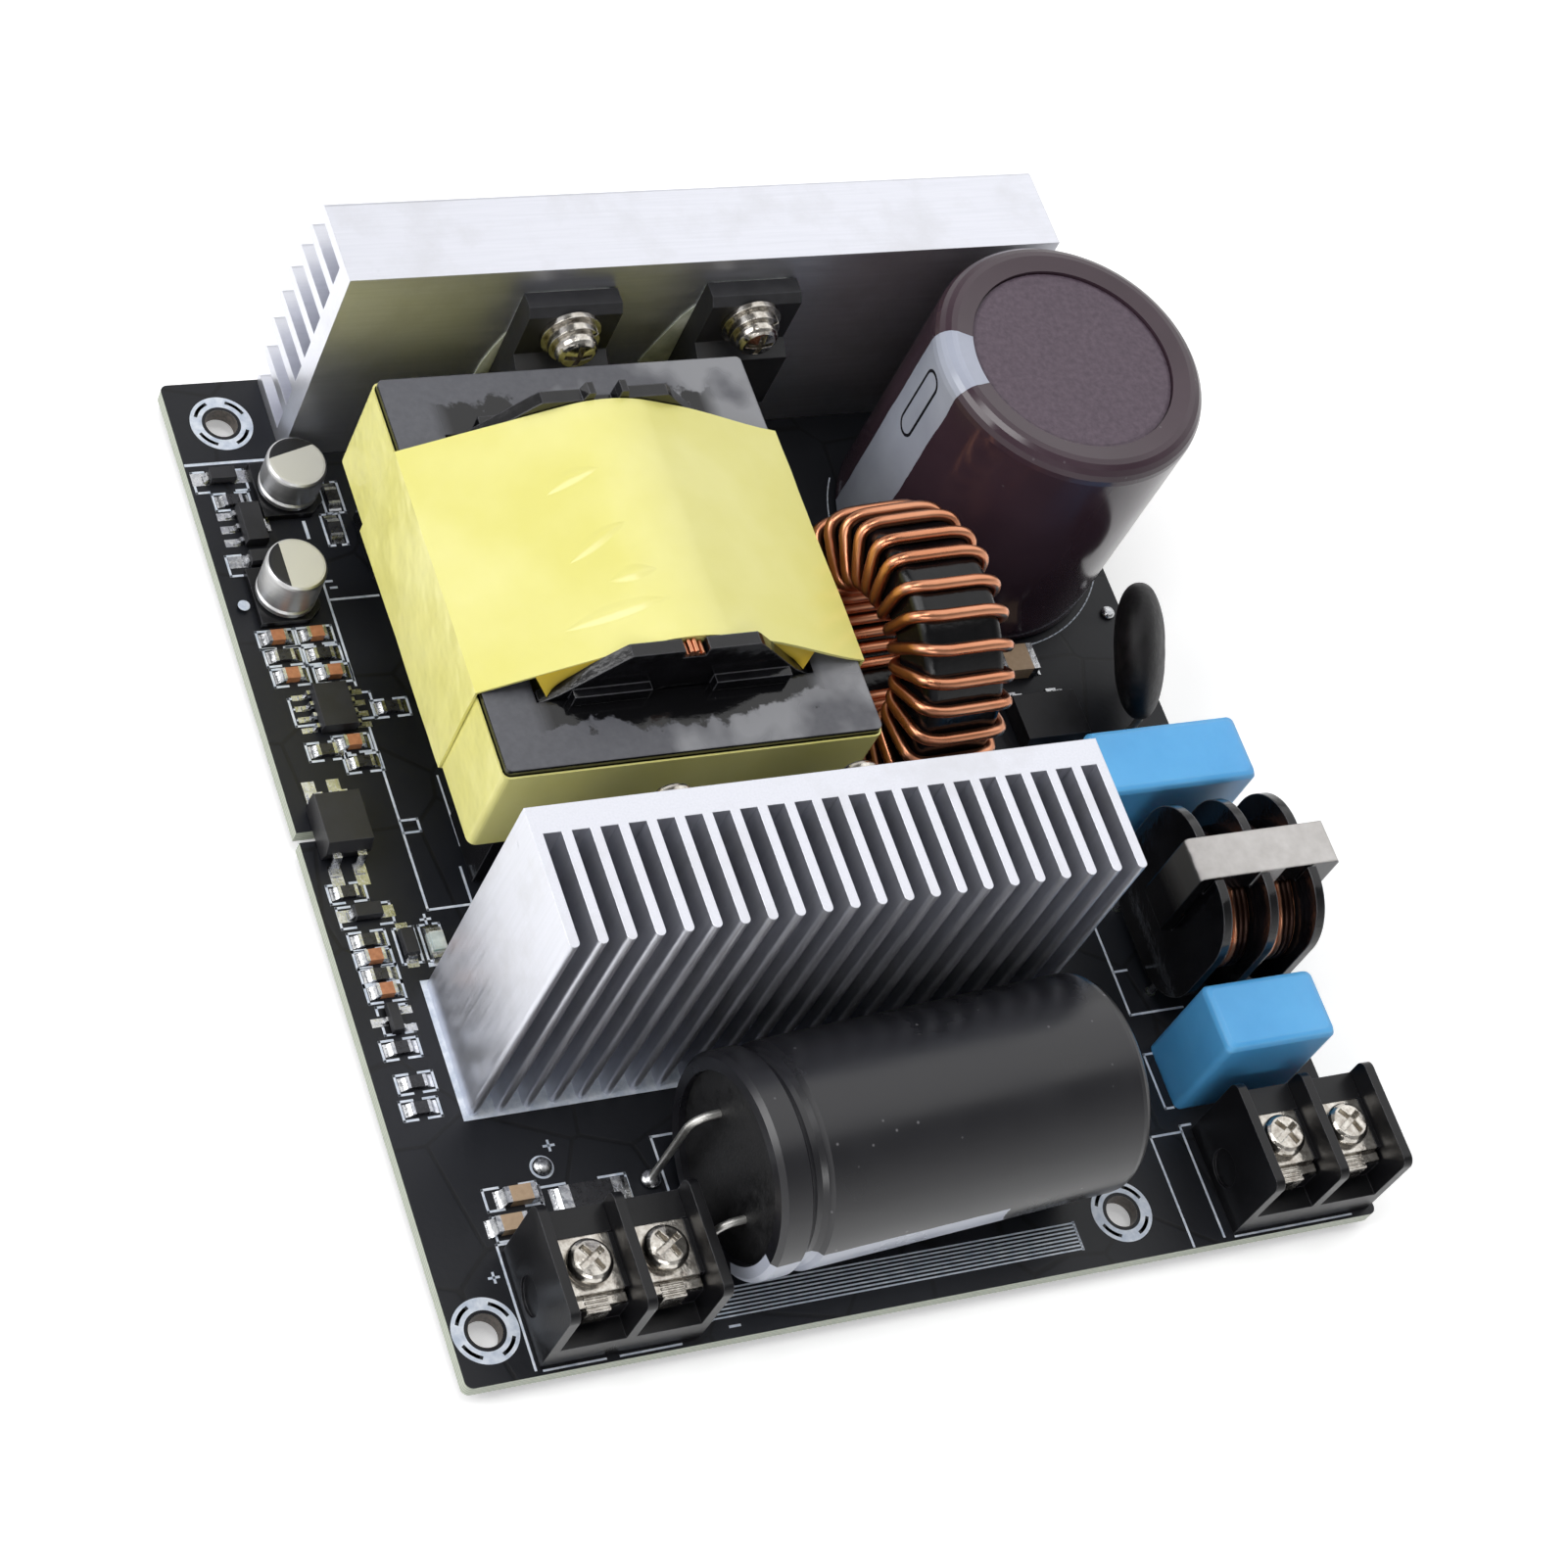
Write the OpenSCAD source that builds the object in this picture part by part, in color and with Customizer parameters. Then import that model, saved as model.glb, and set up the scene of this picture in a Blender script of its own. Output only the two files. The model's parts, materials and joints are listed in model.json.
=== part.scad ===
// Open-frame switching power supply module
// X runs to the right along the front edge, Y to the back, Z up.
// The origin is below the middle of the module, level with the ends of the leads that it stands on.

/* [Board] */
// Thickness of the board
board_t = 1.6; // [1.2:0.1:2.4]
// Radius of the board's corners
board_corner_r = 0.8; // [0.4:0.1:1.5]
// Diameter of the four fixing holes
hole_d = 3.4; // [2.6:0.1:4]
// Distance of the fixing holes from the front and rear edges
hole_edge = 5.2; // [4:0.1:7]
// Distance of the front left hole from the left edge
front_hole_side = 3.4; // [3:0.1:5]
// Spacing of the two front holes
front_hole_pitch = 68.2; // [60:0.2:76]
// Distance of the rear holes from the side edges
rear_hole_side = 5.3; // [4:0.1:7]
// Width of the strip of small parts left of the transformer
strip_w = 12; // [12:0.5:18]
// Length that leads stand out below the board
lead_out = 1.5; // [1:0.1:2.5]

/* [Rear heatsink] */
// Width of the rear heatsink
rear_sink_w = 80; // [66:1:84]
// Height of the rear heatsink
rear_sink_h = 29; // [26:0.5:40]
// Depth of the rear heatsink with its fins
rear_sink_depth = 9.7; // [7:0.1:16]
// Thickness of its mounting plate
rear_plate_t = 2.6; // [2.4:0.1:4]
// Number of its fins
rear_fin_count = 8; // [6:1:9]
// Thickness of its fins
rear_fin_t = 1.3; // [0.8:0.1:1.5]
// How much further the middle fins stand out than the end ones
rear_fin_bulge = 1.8; // [0:0.1:3]
// Distance of the rear heatsink from the left edge
rear_sink_side = 10.5; // [10:0.5:16]

/* [Front heatsink] */
// Height of the front heatsink
front_sink_h = 33; // [30:0.5:45]
// Depth of the front heatsink with its fins
front_sink_depth = 14.3; // [9:0.1:20]
// Thickness of its mounting plate
front_plate_t = 2.8; // [2.4:0.1:4]
// Number of its fins
front_fin_count = 22; // [18:1:26]
// Spacing of its fins
front_fin_pitch = 2.786; // [2.4:0.002:3.2]
// Thickness of its fins
front_fin_t = 1; // [0.6:0.1:1.3]
// Distance of the front heatsink from the left edge
front_sink_side = 8.2; // [7:0.1:12]

/* [Transformer] */
// Width of the ferrite core
core_w = 39.5; // [36:0.1:46]
// Length of the two core halves together
core_l = 44.8; // [38:0.2:52]
// Thickness of the core
core_h = 13; // [11:0.1:16]
// Height of the core above the board
core_z = 10; // [8.5:0.1:14]
// Thickness of the core's end walls
core_wall = 7; // [5:0.1:9]
// Width of the core's outer legs
core_leg = 5.1; // [4:0.1:6]
// Diameter of the core's round middle leg
core_post_d = 13; // [11:0.1:14]
// Radius of the finished winding
winding_r = 12.7; // [11.5:0.1:13.8]
// Thickness of the tape
tape_t = 0.3; // [0.2:0.05:0.5]
// Distance of the tape band over the winding from the bobbin's flanges
band_gap = 0.2; // [0.1:0.1:3]
// Height of the bobbin's flanges above the core's centre
flange_rise = 12.9; // [12.2:0.1:16]

/* [Bulk capacitor] */
// Diameter of the bulk capacitor
bulk_d = 30; // [22:0.5:35]
// Height of the bulk capacitor
bulk_h = 31.2; // [25:0.1:50]
// Radius of its top edge
bulk_edge_r = 2; // [0.8:0.1:2.4]

/* [Output capacitor] */
// Diameter of the lying output capacitor
out_d = 21.8; // [16:0.2:25]
// Length of the output capacitor
out_l = 40.7; // [30:0.1:45]
// Angle that it lies at to the front edge
out_yaw = 3.5; // [0:0.1:5]
// Angle that it is rolled about its own axis
out_roll = 20; // [0:1:30]
// Spacing of its leads
out_lead_pitch = 10; // [7.5:0.5:11]

/* [Toroid choke] */
// Outer diameter of the toroid core
toroid_d = 26.6; // [22:0.2:30]
// Hole diameter of the toroid core
toroid_hole_d = 14.6; // [12:0.2:16]
// Thickness of the toroid core
toroid_t = 9.2; // [7:0.1:12]
// Diameter of the winding wire
toroid_wire_d = 1.2; // [0.8:0.1:1.4]
// Number of turns
toroid_turns = 25; // [18:1:26]
// Angle that it stands at
toroid_yaw = 3.7; // [0:0.1:6]

/* [Mains parts] */
// Length of the rear film capacitor
rear_film_l = 18; // [15:0.5:20]
// Width of the rear film capacitor
rear_film_w = 7.5; // [5:0.5:9]
// Height of the rear film capacitor
rear_film_h = 14.8; // [11:0.1:18]
// Length of the front film capacitor
front_film_l = 13; // [12:0.5:16]
// Width of the front film capacitor
front_film_w = 7.5; // [5:0.5:9]
// Height of the front film capacitor
front_film_h = 13.1; // [9:0.1:16]
// Length of the line choke's ferrite frame
choke_l = 16.7; // [15:0.1:18]
// Height of the ferrite frame
choke_h = 10.5; // [9.5:0.1:13]
// Thickness of the ferrite frame
choke_t = 4.7; // [3.5:0.1:6]
// Size of the line choke's flanges
choke_flange = 17.6; // [17:0.1:19.6]
// Diameter of the thermistor disc
thermistor_d = 14.4; // [9:0.2:15]
// Thickness of the thermistor disc
thermistor_t = 4.6; // [3:0.1:6]

/* [Terminal blocks] */
// Spacing of the terminals
terminal_pitch = 7.62; // [7.5:0.02:8.5]
// Depth of the blocks
terminal_depth = 11.8; // [11.4:0.1:14]
// Height of the barrier walls
terminal_h = 10.6; // [9.5:0.1:14]
// Height of the blocks' base
terminal_base_h = 6.3; // [5.5:0.1:7]
// Thickness of the barrier walls
terminal_wall = 1; // [0.7:0.1:1.2]

/* [Hidden] */
$fn = 48;
wire_r = 0.4;
hole_gap = 0.15;
fit_gap = 0.05;
joint_h = 1.2;
screw_r = 1.45;
screw_hole_r = 1.5;
head_r = 2.25;
head_h = 1.8;
washer_r = 3.2;
washer_t = 0.6;
spring_r = 2.7;
spring_t = 1.1;

// Front row
terminal_front = 0.7;
terminal_w = 2*terminal_pitch + terminal_wall;
dc_x = 7.3;
cell_y = 6.1;
contact_t = 0.8;
contact_w = terminal_pitch - terminal_wall - 0.6;
clamp_w = 5.6;
clamp_t = 0.7;
ledge_d = 2.3;
ledge_h = 3.6;
contact_pin_r = 0.6;
contact_pin_y = terminal_depth - 1.6;
contact_front = 1.7;

// Lying output capacitor
out_lift = 0.2;
out_bend_r = 1.9;
out_bend_s = 0.2;
out_gap = 2.8;
out_x = dc_x + terminal_w + out_gap;
out_front = 1.55;
out_y = out_front + out_d/2;
out_z = out_lift + out_d/2;
bung_r = out_d/2 - 1.7;
bung_in = 2.4;

// Front heatsink and the rectifiers behind it
sink_gap = 0.5;
front_sink_y = out_y + out_l*sin(out_yaw) + out_d/2 + sink_gap;
front_sink_back = front_sink_y + front_sink_depth;
front_sink_w = (front_fin_count - 1)*front_fin_pitch + front_fin_t;
function front_fin_x(k) = front_sink_side + front_fin_t/2 + k*front_fin_pitch;
rectifier_x = [front_fin_x(6), front_fin_x(13)];
rectifier_w = 10;
rectifier_h = 9.2;
rectifier_t = 4.4;
tab_t = 1.3;
tab_h = 15.4;
tab_hole = 12.5;
rectifier_screw_z = 27.3;
rectifier_z = rectifier_screw_z - tab_hole;
rectifier_lead_y = front_sink_back + 2.7;
lead_pitch = 2.54;

// Transformer
xf_gap = 4.565;
xf_x = strip_w + 2*tape_t + core_w/2;
xf_front = front_sink_back + rectifier_t + xf_gap + tape_t;
xf_y = xf_front + core_l/2;
xf_z = core_z + core_h/2;
xf_right = xf_x + core_w/2 + 2*tape_t;
xf_back = xf_front + core_l + tape_t;
core_corner_r = 0.6;
core_tape_drop = 0.9;
window_l = core_l - 2*core_wall;
window_half = core_w/2 - core_leg;
flange_t = 1.4;
band_w = window_l - 2*flange_t - 2*band_gap;
flange_half = window_half - 0.4;
tube_r = core_post_d/2 + 1.5;
rail_half = 16.5;
rail_z = 0.3;
rail_inset = 0.8;
pin_count = 6;
pin_pitch = 5;
pin_row = core_l/2 - rail_inset - 2;

// Rear heatsink and its transistors
rear_gap = 1;
pad_t = 0.2;
transistor_w = 10.2;
transistor_t = 4.6;
transistor_tab_t = 2.6;
transistor_h = 15.9;
transistor_body_h = 8.5;
transistor_hole = 12.6;
stack_t = head_h + spring_t + washer_t + transistor_tab_t + pad_t;
rear_sink_y = xf_back + rear_gap + stack_t;
board_d = rear_sink_y + rear_sink_depth;
// How far the longest fin stands out past the board's rear edge
rear_overhang = rear_fin_bulge*sin(180*floor((rear_fin_count - 1)/2)/(rear_fin_count - 1));
rear_fin_pitch = (rear_sink_h - rear_fin_t)/(rear_fin_count - 1);
rear_screw_z = rear_fin_t/2 + (rear_fin_count - 2.5)*rear_fin_pitch;
transistor_x = [xf_x + 2.5, xf_x + 22.8];
transistor_z = rear_screw_z - transistor_hole;
transistor_lead_y = rear_sink_y - pad_t - 2.7;

// Toroid, bulk capacitor and the board's width
toroid_gap = 2.7;
toroid_wire_gap = 0.08;
toroid_r = toroid_d/2 + toroid_wire_gap + toroid_wire_d;
toroid_half = toroid_t/2 + toroid_wire_gap + toroid_wire_d;
toroid_half_x = toroid_half*cos(toroid_yaw) + toroid_r*sin(toroid_yaw);
toroid_x = xf_right + toroid_gap + toroid_half_x;
toroid_forward = 0.78;
toroid_y = xf_front - toroid_forward + toroid_r;
toroid_z = toroid_r + 0.15;
bulk_gap = 0.78;
bulk_x = toroid_x + toroid_half_x + bulk_gap + bulk_d/2;
bulk_y = rear_sink_y - 1.15 - bulk_d/2;
bulk_pin_pitch = 10;
bulk_pin_r = 0.75;
disc_r = bulk_d/2 - 3.8;
disc_t = 0.4;
film_gap = 11.694;
film_edge = 2.6;
board_w = max(bulk_x + bulk_d/2 + 0.2, front_sink_side + front_sink_w + film_gap + rear_film_l + film_edge);

// Right-hand column, from the front to the back
ac_x = board_w - 0.9 - terminal_w;
front_film_x = board_w - 18 + front_film_l/2;
front_film_y = terminal_front + terminal_depth + 2.3 + front_film_w/2;
choke_x = board_w - 0.8 - choke_l/2;
choke_y = front_film_y + front_film_w/2 + 2 + choke_flange/2;
choke_top = 19.2;
choke_arm = 2.9;
choke_axis_z = choke_top - choke_h + choke_arm/2;
choke_flange_t = 1;
choke_tube_r = 4;
choke_wire_r = 0.36;
choke_turns = 5;
choke_leg = 1.5;
choke_window = choke_l - 2*choke_leg;
// The bobbin sits against the frame's left leg
choke_shift = -0.7;
choke_end = choke_window/2 - 0.1 - choke_flange_t/2 + choke_shift;
choke_flange_z = choke_axis_z - choke_flange/2;
choke_winding_r = choke_h - choke_arm/2 - choke_arm - 0.35 - choke_wire_r;
rear_film_x = board_w - film_edge - rear_film_l/2;
rear_film_y = choke_y + choke_flange/2 + 1.9 + rear_film_w/2;
thermistor_x = board_w - 6.6;
thermistor_y = rear_film_y + rear_film_w/2 + 11.7;
thermistor_z = 9.4;
thermistor_yaw = -24;
thermistor_lean = 25.7;
thermistor_lead_half = 3.4;
thermistor_bend_z = 2.6;
thermistor_bend_r = 1.5;
mlcc_x = bulk_x - 1;
mlcc_y = bulk_y - bulk_d/2 - 3;
bridge_x = bulk_x;
bridge_y = mlcc_y - 7.6;
film_lead_inset = 1.5;

// Strip of small parts: places along it stretch with the board's length
strip_ref = 112;
function strip_y(v) = v*board_d/strip_ref;
rear_can = [9.7, strip_y(97.8)];
front_can = [6, strip_y(85.2)];
can_r = 3.15;
can_base_w = 6.6;
can_base_h = 0.9;
rear_can_h = 5.5;
front_can_h = 6.3;
controller = [7.35, strip_y(71.6)];
opto = [3.9, strip_y(58)];
slot_w = 1.1;
slot_l = 5;
slot_corner_r = 0.4;
chip_l = 2;
chip_w = 1.25;
cap_l = 0.32;

// Places of the chip resistors: x, y, turn
resistors = [
    [3.9, 97.2, 0], [14.4, 96.7, 90], [13.6, 92.8, 90], [4.2, 78.4, 0], [8.3, 78.2, 0],
    [13.5, 71.3, 0], [5.5, 67.2, 0], [8.9, 65.4, 0], [3.2, 51.4, 0], [3.8, 46, 0],
    [3.9, 42.2, 0], [3.7, 34.3, 0], [4.1, 30.6, 0], [3.8, 27.9, 0]];
// Places of the small chip capacitors: x, y, turn
capacitors = [
    [4, 80.5, 0], [8.1, 80.5, 0], [4.3, 76, 0], [8.7, 75.9, 0],
    [8.4, 67.7, 0], [3.8, 44.1, 0], [3.9, 40.4, 0]];
// Places of the small diodes: x, y, turn
diodes = [[3.4, 100.1, 0], [5, 89.9, 0], [4.4, 48.9, 0], [7.5, 45, 90]];
small_transistor = [3.8, strip_y(37.3)];
regulator = [4.9, strip_y(93.8)];
lamp = [10.3, strip_y(44.6)];
// Larger chips by the DC terminals and by the bulk capacitor
dc_chip_x = 10.5;
dc_chip_y = terminal_front + terminal_depth + 5;
dc_chip_2_x = 8.8;
dc_chip_2_y = terminal_front + terminal_depth + 2.3;
shunt_x = 17.6;
shunt_y = terminal_front + terminal_depth + 3.6;

// Points where leads pass the board: x, y, lead radius
function turned(x, y, a) = [x*cos(a) - y*sin(a), x*sin(a) + y*cos(a)];
function out_lead_side(k) = k*out_lead_pitch/2*[cos(out_roll), sin(out_roll)];
function out_lead_at(k) = [out_x, out_y] + turned(-out_bend_s - out_bend_r, out_lead_side(k)[0], out_yaw);
thermistor_across = [-sin(thermistor_yaw), cos(thermistor_yaw)];
thermistor_down = thermistor_z - thermistor_bend_z;
thermistor_slip = thermistor_bend_r*(1 - cos(thermistor_lean))/cos(thermistor_lean);
thermistor_foot = [thermistor_x, thermistor_y]
    + (thermistor_down*tan(thermistor_lean) - thermistor_slip)*[cos(thermistor_yaw), sin(thermistor_yaw)];
function thermistor_lead_at(k) = thermistor_foot + k*thermistor_lead_half*thermistor_across;
toroid_step = 340/toroid_turns;
toroid_start = -80;
function toroid_lead_at(a) = [toroid_x, toroid_y]
    + turned(0, (toroid_r - toroid_wire_d/2)*cos(a), toroid_yaw);
choke_pin_x = [for (k = [-1, 1]) choke_x + choke_shift + k*choke_end];
choke_pin_half = 5;

transistor_points = [for (x = transistor_x, k = [-1, 0, 1]) [x + k*lead_pitch, transistor_lead_y, wire_r]];
rectifier_points = [for (x = rectifier_x, k = [-1, 0, 1]) [x + k*lead_pitch, rectifier_lead_y, wire_r]];
transformer_points = [for (i = [0:pin_count - 1], k = [-1, 1])
    [xf_x + (i - (pin_count - 1)/2)*pin_pitch, xf_y + k*pin_row, wire_r]];
bulk_points = [for (k = [-1, 1]) [bulk_x + k*bulk_pin_pitch/2, bulk_y, bulk_pin_r]];
out_points = [for (k = [-1, 1]) concat(out_lead_at(k), [wire_r])];
toroid_points = [for (a = [toroid_start, toroid_start + 340]) concat(toroid_lead_at(a), [toroid_wire_d/2])];
thermistor_points = [for (k = [-1, 1]) concat(thermistor_lead_at(k), [wire_r])];
front_film_points = [for (k = [-1, 1]) [front_film_x + k*(front_film_l/2 - film_lead_inset), front_film_y, wire_r]];
rear_film_points = [for (k = [-1, 1]) [rear_film_x + k*(rear_film_l/2 - film_lead_inset), rear_film_y, wire_r]];
choke_points = [for (x = choke_pin_x, k = [-1, 1]) [x, choke_y + k*choke_pin_half, wire_r]];
contact_points = [for (x = [dc_x, ac_x], i = [0, 1])
    [x + terminal_wall/2 + (i + 0.5)*terminal_pitch, terminal_front + contact_pin_y, contact_pin_r]];
sink_pin_r = 0.9;
sink_pin_in = 6;
sink_pin_points = [
    [rear_sink_side + 8, rear_sink_y + rear_plate_t/2, sink_pin_r],
    [rear_sink_side + rear_sink_w - 8, rear_sink_y + rear_plate_t/2, sink_pin_r],
    [front_sink_side + 6, front_sink_back - front_plate_t/2, sink_pin_r],
    [front_sink_side + front_sink_w - 6, front_sink_back - front_plate_t/2, sink_pin_r]];
lead_points = concat(transistor_points, rectifier_points, transformer_points, bulk_points, out_points,
    toroid_points, thermistor_points, front_film_points, rear_film_points, choke_points, contact_points,
    sink_pin_points);
fixing_points = [
    [front_hole_side, hole_edge], [front_hole_side + front_hole_pitch, hole_edge],
    [rear_hole_side, board_d - hole_edge], [board_w - rear_hole_side, board_d - hole_edge]];

// Helpers

// Moves to a place measured from the front left corner of the board's top
module on_board(x, y, z = 0) {
    translate([x - board_w/2, y - (board_d + rear_overhang)/2, lead_out + board_t + z]) children();
}

// Rectangle with round corners, about its centre
module rounded_rect(w, d, r) {
    square([w - 2*r, d], center = true);
    square([w, d - 2*r], center = true);
    for (x = [-1, 1], y = [-1, 1]) translate([x*(w/2 - r), y*(d/2 - r)]) circle(r);
}

// Profile in Y and Z, drawn along X about the middle
module along_x(l) translate([-l/2, 0, 0]) rotate([90, 0, 90]) linear_extrude(l) children();

// Profile in X and Z, drawn along Y about the middle
module along_y(l) translate([0, l/2, 0]) rotate([90, 0, 0]) linear_extrude(l) children();

// Straight leads from a height above the board to below it
module straight_leads(points, top) {
    for (p = points)
        on_board(p[0], p[1], -board_t - lead_out) cylinder(r = p[2], h = lead_out + board_t + top);
}

// Points of an arc
function arc(x, y, r, from, to, n = 6) = [for (i = [0:n]) let (a = from + (to - from)*i/n) [x + r*cos(a), y + r*sin(a)]];

// Pan head screw with a cross recess, head up from z = 0, shank down
module screw(shank) {
    difference() {
        union() {
            rotate_extrude() polygon(concat([[0, 0]], [[head_r, 0]], arc(head_r - 1, head_h - 1.2, 1, 0, 60, 3),
                [[0, head_h]]));
            translate([0, 0, -shank]) cylinder(r = screw_r, h = shank + 0.1);
        }
        for (a = [0, 90]) rotate(a) translate([-1.5, -0.3, head_h - 1]) cube([3, 0.6, 2]);
    }
}

// Ring, flat on z = 0
module ring(outer, inner, t) {
    difference() {
        cylinder(r = outer, h = t);
        translate([0, 0, -1]) cylinder(r = inner, h = t + 2);
    }
}

// Board and fixings

module circuit_board() {
    color("#20242c") difference() {
        on_board(board_w/2, board_d/2, -board_t) linear_extrude(board_t) rounded_rect(board_w, board_d, board_corner_r);
        for (p = fixing_points) on_board(p[0], p[1], -board_t - 1) cylinder(d = hole_d, h = board_t + 2);
        for (p = lead_points) on_board(p[0], p[1], -board_t - 1) cylinder(r = p[2] + hole_gap, h = board_t + 2);
        on_board(0, opto[1], -board_t - 1) linear_extrude(board_t + 2) rounded_rect(2*slot_l, slot_w, slot_corner_r);
    }
}

module solder_joints() {
    color("silver") for (p = lead_points)
        on_board(p[0], p[1], -board_t - joint_h) difference() {
            cylinder(r1 = p[2] + 0.15, r2 = p[2] + 0.75, h = joint_h);
            translate([0, 0, -1]) cylinder(r = p[2], h = joint_h + 2);
        }
}

module heatsink_pins() {
    color("silver") straight_leads(sink_pin_points, sink_pin_in);
}

// Rear heatsink with its transistors

module rear_heatsink() {
    fin_r = rear_fin_t/2;
    color("#d9dadf") difference() {
        on_board(rear_sink_side + rear_sink_w/2, rear_sink_y) along_x(rear_sink_w) {
            square([rear_plate_t, rear_sink_h]);
            for (k = [0:rear_fin_count - 1]) translate([0, k*rear_fin_pitch]) {
                tip = rear_sink_depth - fin_r + rear_fin_bulge*sin(180*k/(rear_fin_count - 1));
                square([tip, rear_fin_t]);
                translate([tip, fin_r]) circle(fin_r);
            }
        }
        for (x = transistor_x) on_board(x, rear_sink_y - 1, rear_screw_z)
            rotate([-90, 0, 0]) cylinder(r = screw_hole_r, h = rear_plate_t + 2);
        for (i = [0, 1]) on_board(sink_pin_points[i][0], sink_pin_points[i][1], -1)
            cylinder(r = sink_pin_r, h = sink_pin_in + 1);
    }
}

module transistor(x) {
    top = transistor_h - 0.8;
    color("#17181b") on_board(x, rear_sink_y - pad_t, transistor_z) difference() {
        along_x(transistor_w) polygon([
            [0, 0], [0, transistor_h], [-transistor_tab_t + 0.8, transistor_h], [-transistor_tab_t, top],
            [-transistor_tab_t, transistor_body_h + 0.8], [-transistor_t, transistor_body_h],
            [-transistor_t, 0.6], [-transistor_t + 0.6, 0]]);
        translate([0, 1, transistor_hole]) rotate([90, 0, 0]) cylinder(r = 1.6, h = transistor_t + 2);
    }
}
module left_transistor() transistor(transistor_x[0]);
module right_transistor() transistor(transistor_x[1]);

module transistor_leads() {
    color("silver") straight_leads(transistor_points, transistor_z);
}

module transistor_pads() {
    color("#d8dad8") for (x = transistor_x)
        on_board(x, rear_sink_y - pad_t/2, transistor_z + transistor_h/2) difference() {
            along_y(pad_t) rounded_rect(transistor_w - 0.4, transistor_h - 0.8, 0.8);
            translate([0, 2, transistor_hole - transistor_h/2]) rotate([90, 0, 0]) cylinder(r = 1.6, h = 4);
        }
}

// Turns pieces drawn upright so that they lie on the transistors' front
module at_transistor_front(offset) {
    for (x = transistor_x)
        on_board(x, rear_sink_y - pad_t - transistor_tab_t - offset, rear_screw_z) rotate([90, 0, 0]) children();
}

module transistor_screws() {
    color("gainsboro") at_transistor_front(washer_t + spring_t)
        screw(washer_t + spring_t + transistor_tab_t + pad_t + rear_plate_t);
}

module spring_washers() {
    color("gainsboro") at_transistor_front(washer_t) difference() {
        ring(spring_r, screw_hole_r + 0.1, spring_t);
        rotate(40) translate([0, -0.2, -1]) cube([4, 0.4, spring_t + 2]);
    }
}

module flat_washers() {
    color("gainsboro") at_transistor_front(0) ring(washer_r, screw_hole_r + 0.1, washer_t);
}

// Front heatsink with its rectifiers

module front_heatsink() {
    fin_r = front_fin_t/2;
    color("#d9dadf") difference() {
        on_board(front_sink_side, front_sink_y) linear_extrude(front_sink_h) {
            translate([0, front_sink_depth - front_plate_t]) square([front_sink_w, front_plate_t]);
            for (k = [0:front_fin_count - 1]) translate([k*front_fin_pitch, 0]) {
                translate([0, fin_r]) square([front_fin_t, front_sink_depth - fin_r]);
                translate([fin_r, fin_r]) circle(fin_r);
            }
        }
        for (x = rectifier_x) on_board(x, front_sink_back - front_plate_t - 1, rectifier_screw_z)
            rotate([-90, 0, 0]) cylinder(r = screw_hole_r, h = front_plate_t + 2);
        for (i = [2, 3]) on_board(sink_pin_points[i][0], sink_pin_points[i][1], -1)
            cylinder(r = sink_pin_r, h = sink_pin_in + 1);
    }
}

module rectifier(x) {
    color("#17181b") on_board(x, front_sink_back + tab_t, rectifier_z) along_x(rectifier_w) {
        depth = rectifier_t - tab_t;
        polygon([[0, 0], [0, rectifier_h], [depth - 0.7, rectifier_h], [depth, rectifier_h - 0.9],
            [depth, 0.7], [depth - 0.5, 0]]);
    }
}
module left_rectifier() rectifier(rectifier_x[0]);
module right_rectifier() rectifier(rectifier_x[1]);

module rectifier_frames() {
    color("silver") {
        for (x = rectifier_x) on_board(x, front_sink_back + tab_t/2, rectifier_z) difference() {
            along_y(tab_t) polygon([
                [-rectifier_w/2, 0], [rectifier_w/2, 0], [rectifier_w/2, tab_h - 1], [rectifier_w/2 - 1, tab_h],
                [1 - rectifier_w/2, tab_h], [-rectifier_w/2, tab_h - 1]]);
            translate([0, 2, tab_hole]) rotate([90, 0, 0]) cylinder(r = 1.8, h = 4);
        }
        straight_leads(rectifier_points, rectifier_z);
    }
}

module rectifier_screws() {
    color("gainsboro") for (x = rectifier_x)
        on_board(x, front_sink_back + tab_t, rectifier_screw_z) rotate([-90, 0, 0]) screw(tab_t + front_plate_t);
}

// Transformer, drawn about the middle of its core

module at_transformer() on_board(xf_x, xf_y, xf_z) children();

// Half of the core: side -1 is the front half
module core_half(side) {
    leg_l = window_l/2;
    color("#55565c") at_transformer() {
        difference() {
            translate([0, 0, -core_h/2]) linear_extrude(core_h) intersection() {
                rounded_rect(core_w, core_l, core_corner_r);
                translate([-core_w/2, side > 0 ? 0 : -core_l/2]) square([core_w, core_l/2]);
            }
            translate([-window_half, side > 0 ? -1 : -leg_l, -core_h/2 - 1])
                cube([2*window_half, leg_l + 1, core_h + 2]);
        }
        rotate([-90*side, 0, 0]) cylinder(d = core_post_d, h = leg_l + 0.5);
    }
}
module front_core_half() core_half(-1);
module rear_core_half() core_half(1);

// Flange outline above and inside the core's window: the horns of the rear flange guide its wires
module flange_profile(horn) {
    shoulder = core_h/2 + 0.8;
    polygon([
        [-flange_half, -core_h/2 - 0.5], [flange_half, -core_h/2 - 0.5], [flange_half, core_h/2 - 0.4],
        [flange_half - 1.8, shoulder], [7.3, flange_rise - 0.5], [6.7, flange_rise], [1.3, flange_rise],
        [1.2, flange_rise - 1.2], [-1.2, flange_rise - 1.2], [-1.3, flange_rise], [-6.7, flange_rise],
        [-7.3, flange_rise - 0.5], [1.8 - flange_half, shoulder], [-flange_half, core_h/2 - 0.4]]);
    if (horn) for (k = [-1, 1]) polygon([
        [k*1.3, flange_rise - 0.1], [k*1.4, flange_rise + 1.1], [k*2.1, flange_rise + 1.1],
        [k*2.5, flange_rise - 0.1]]);
}

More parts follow.
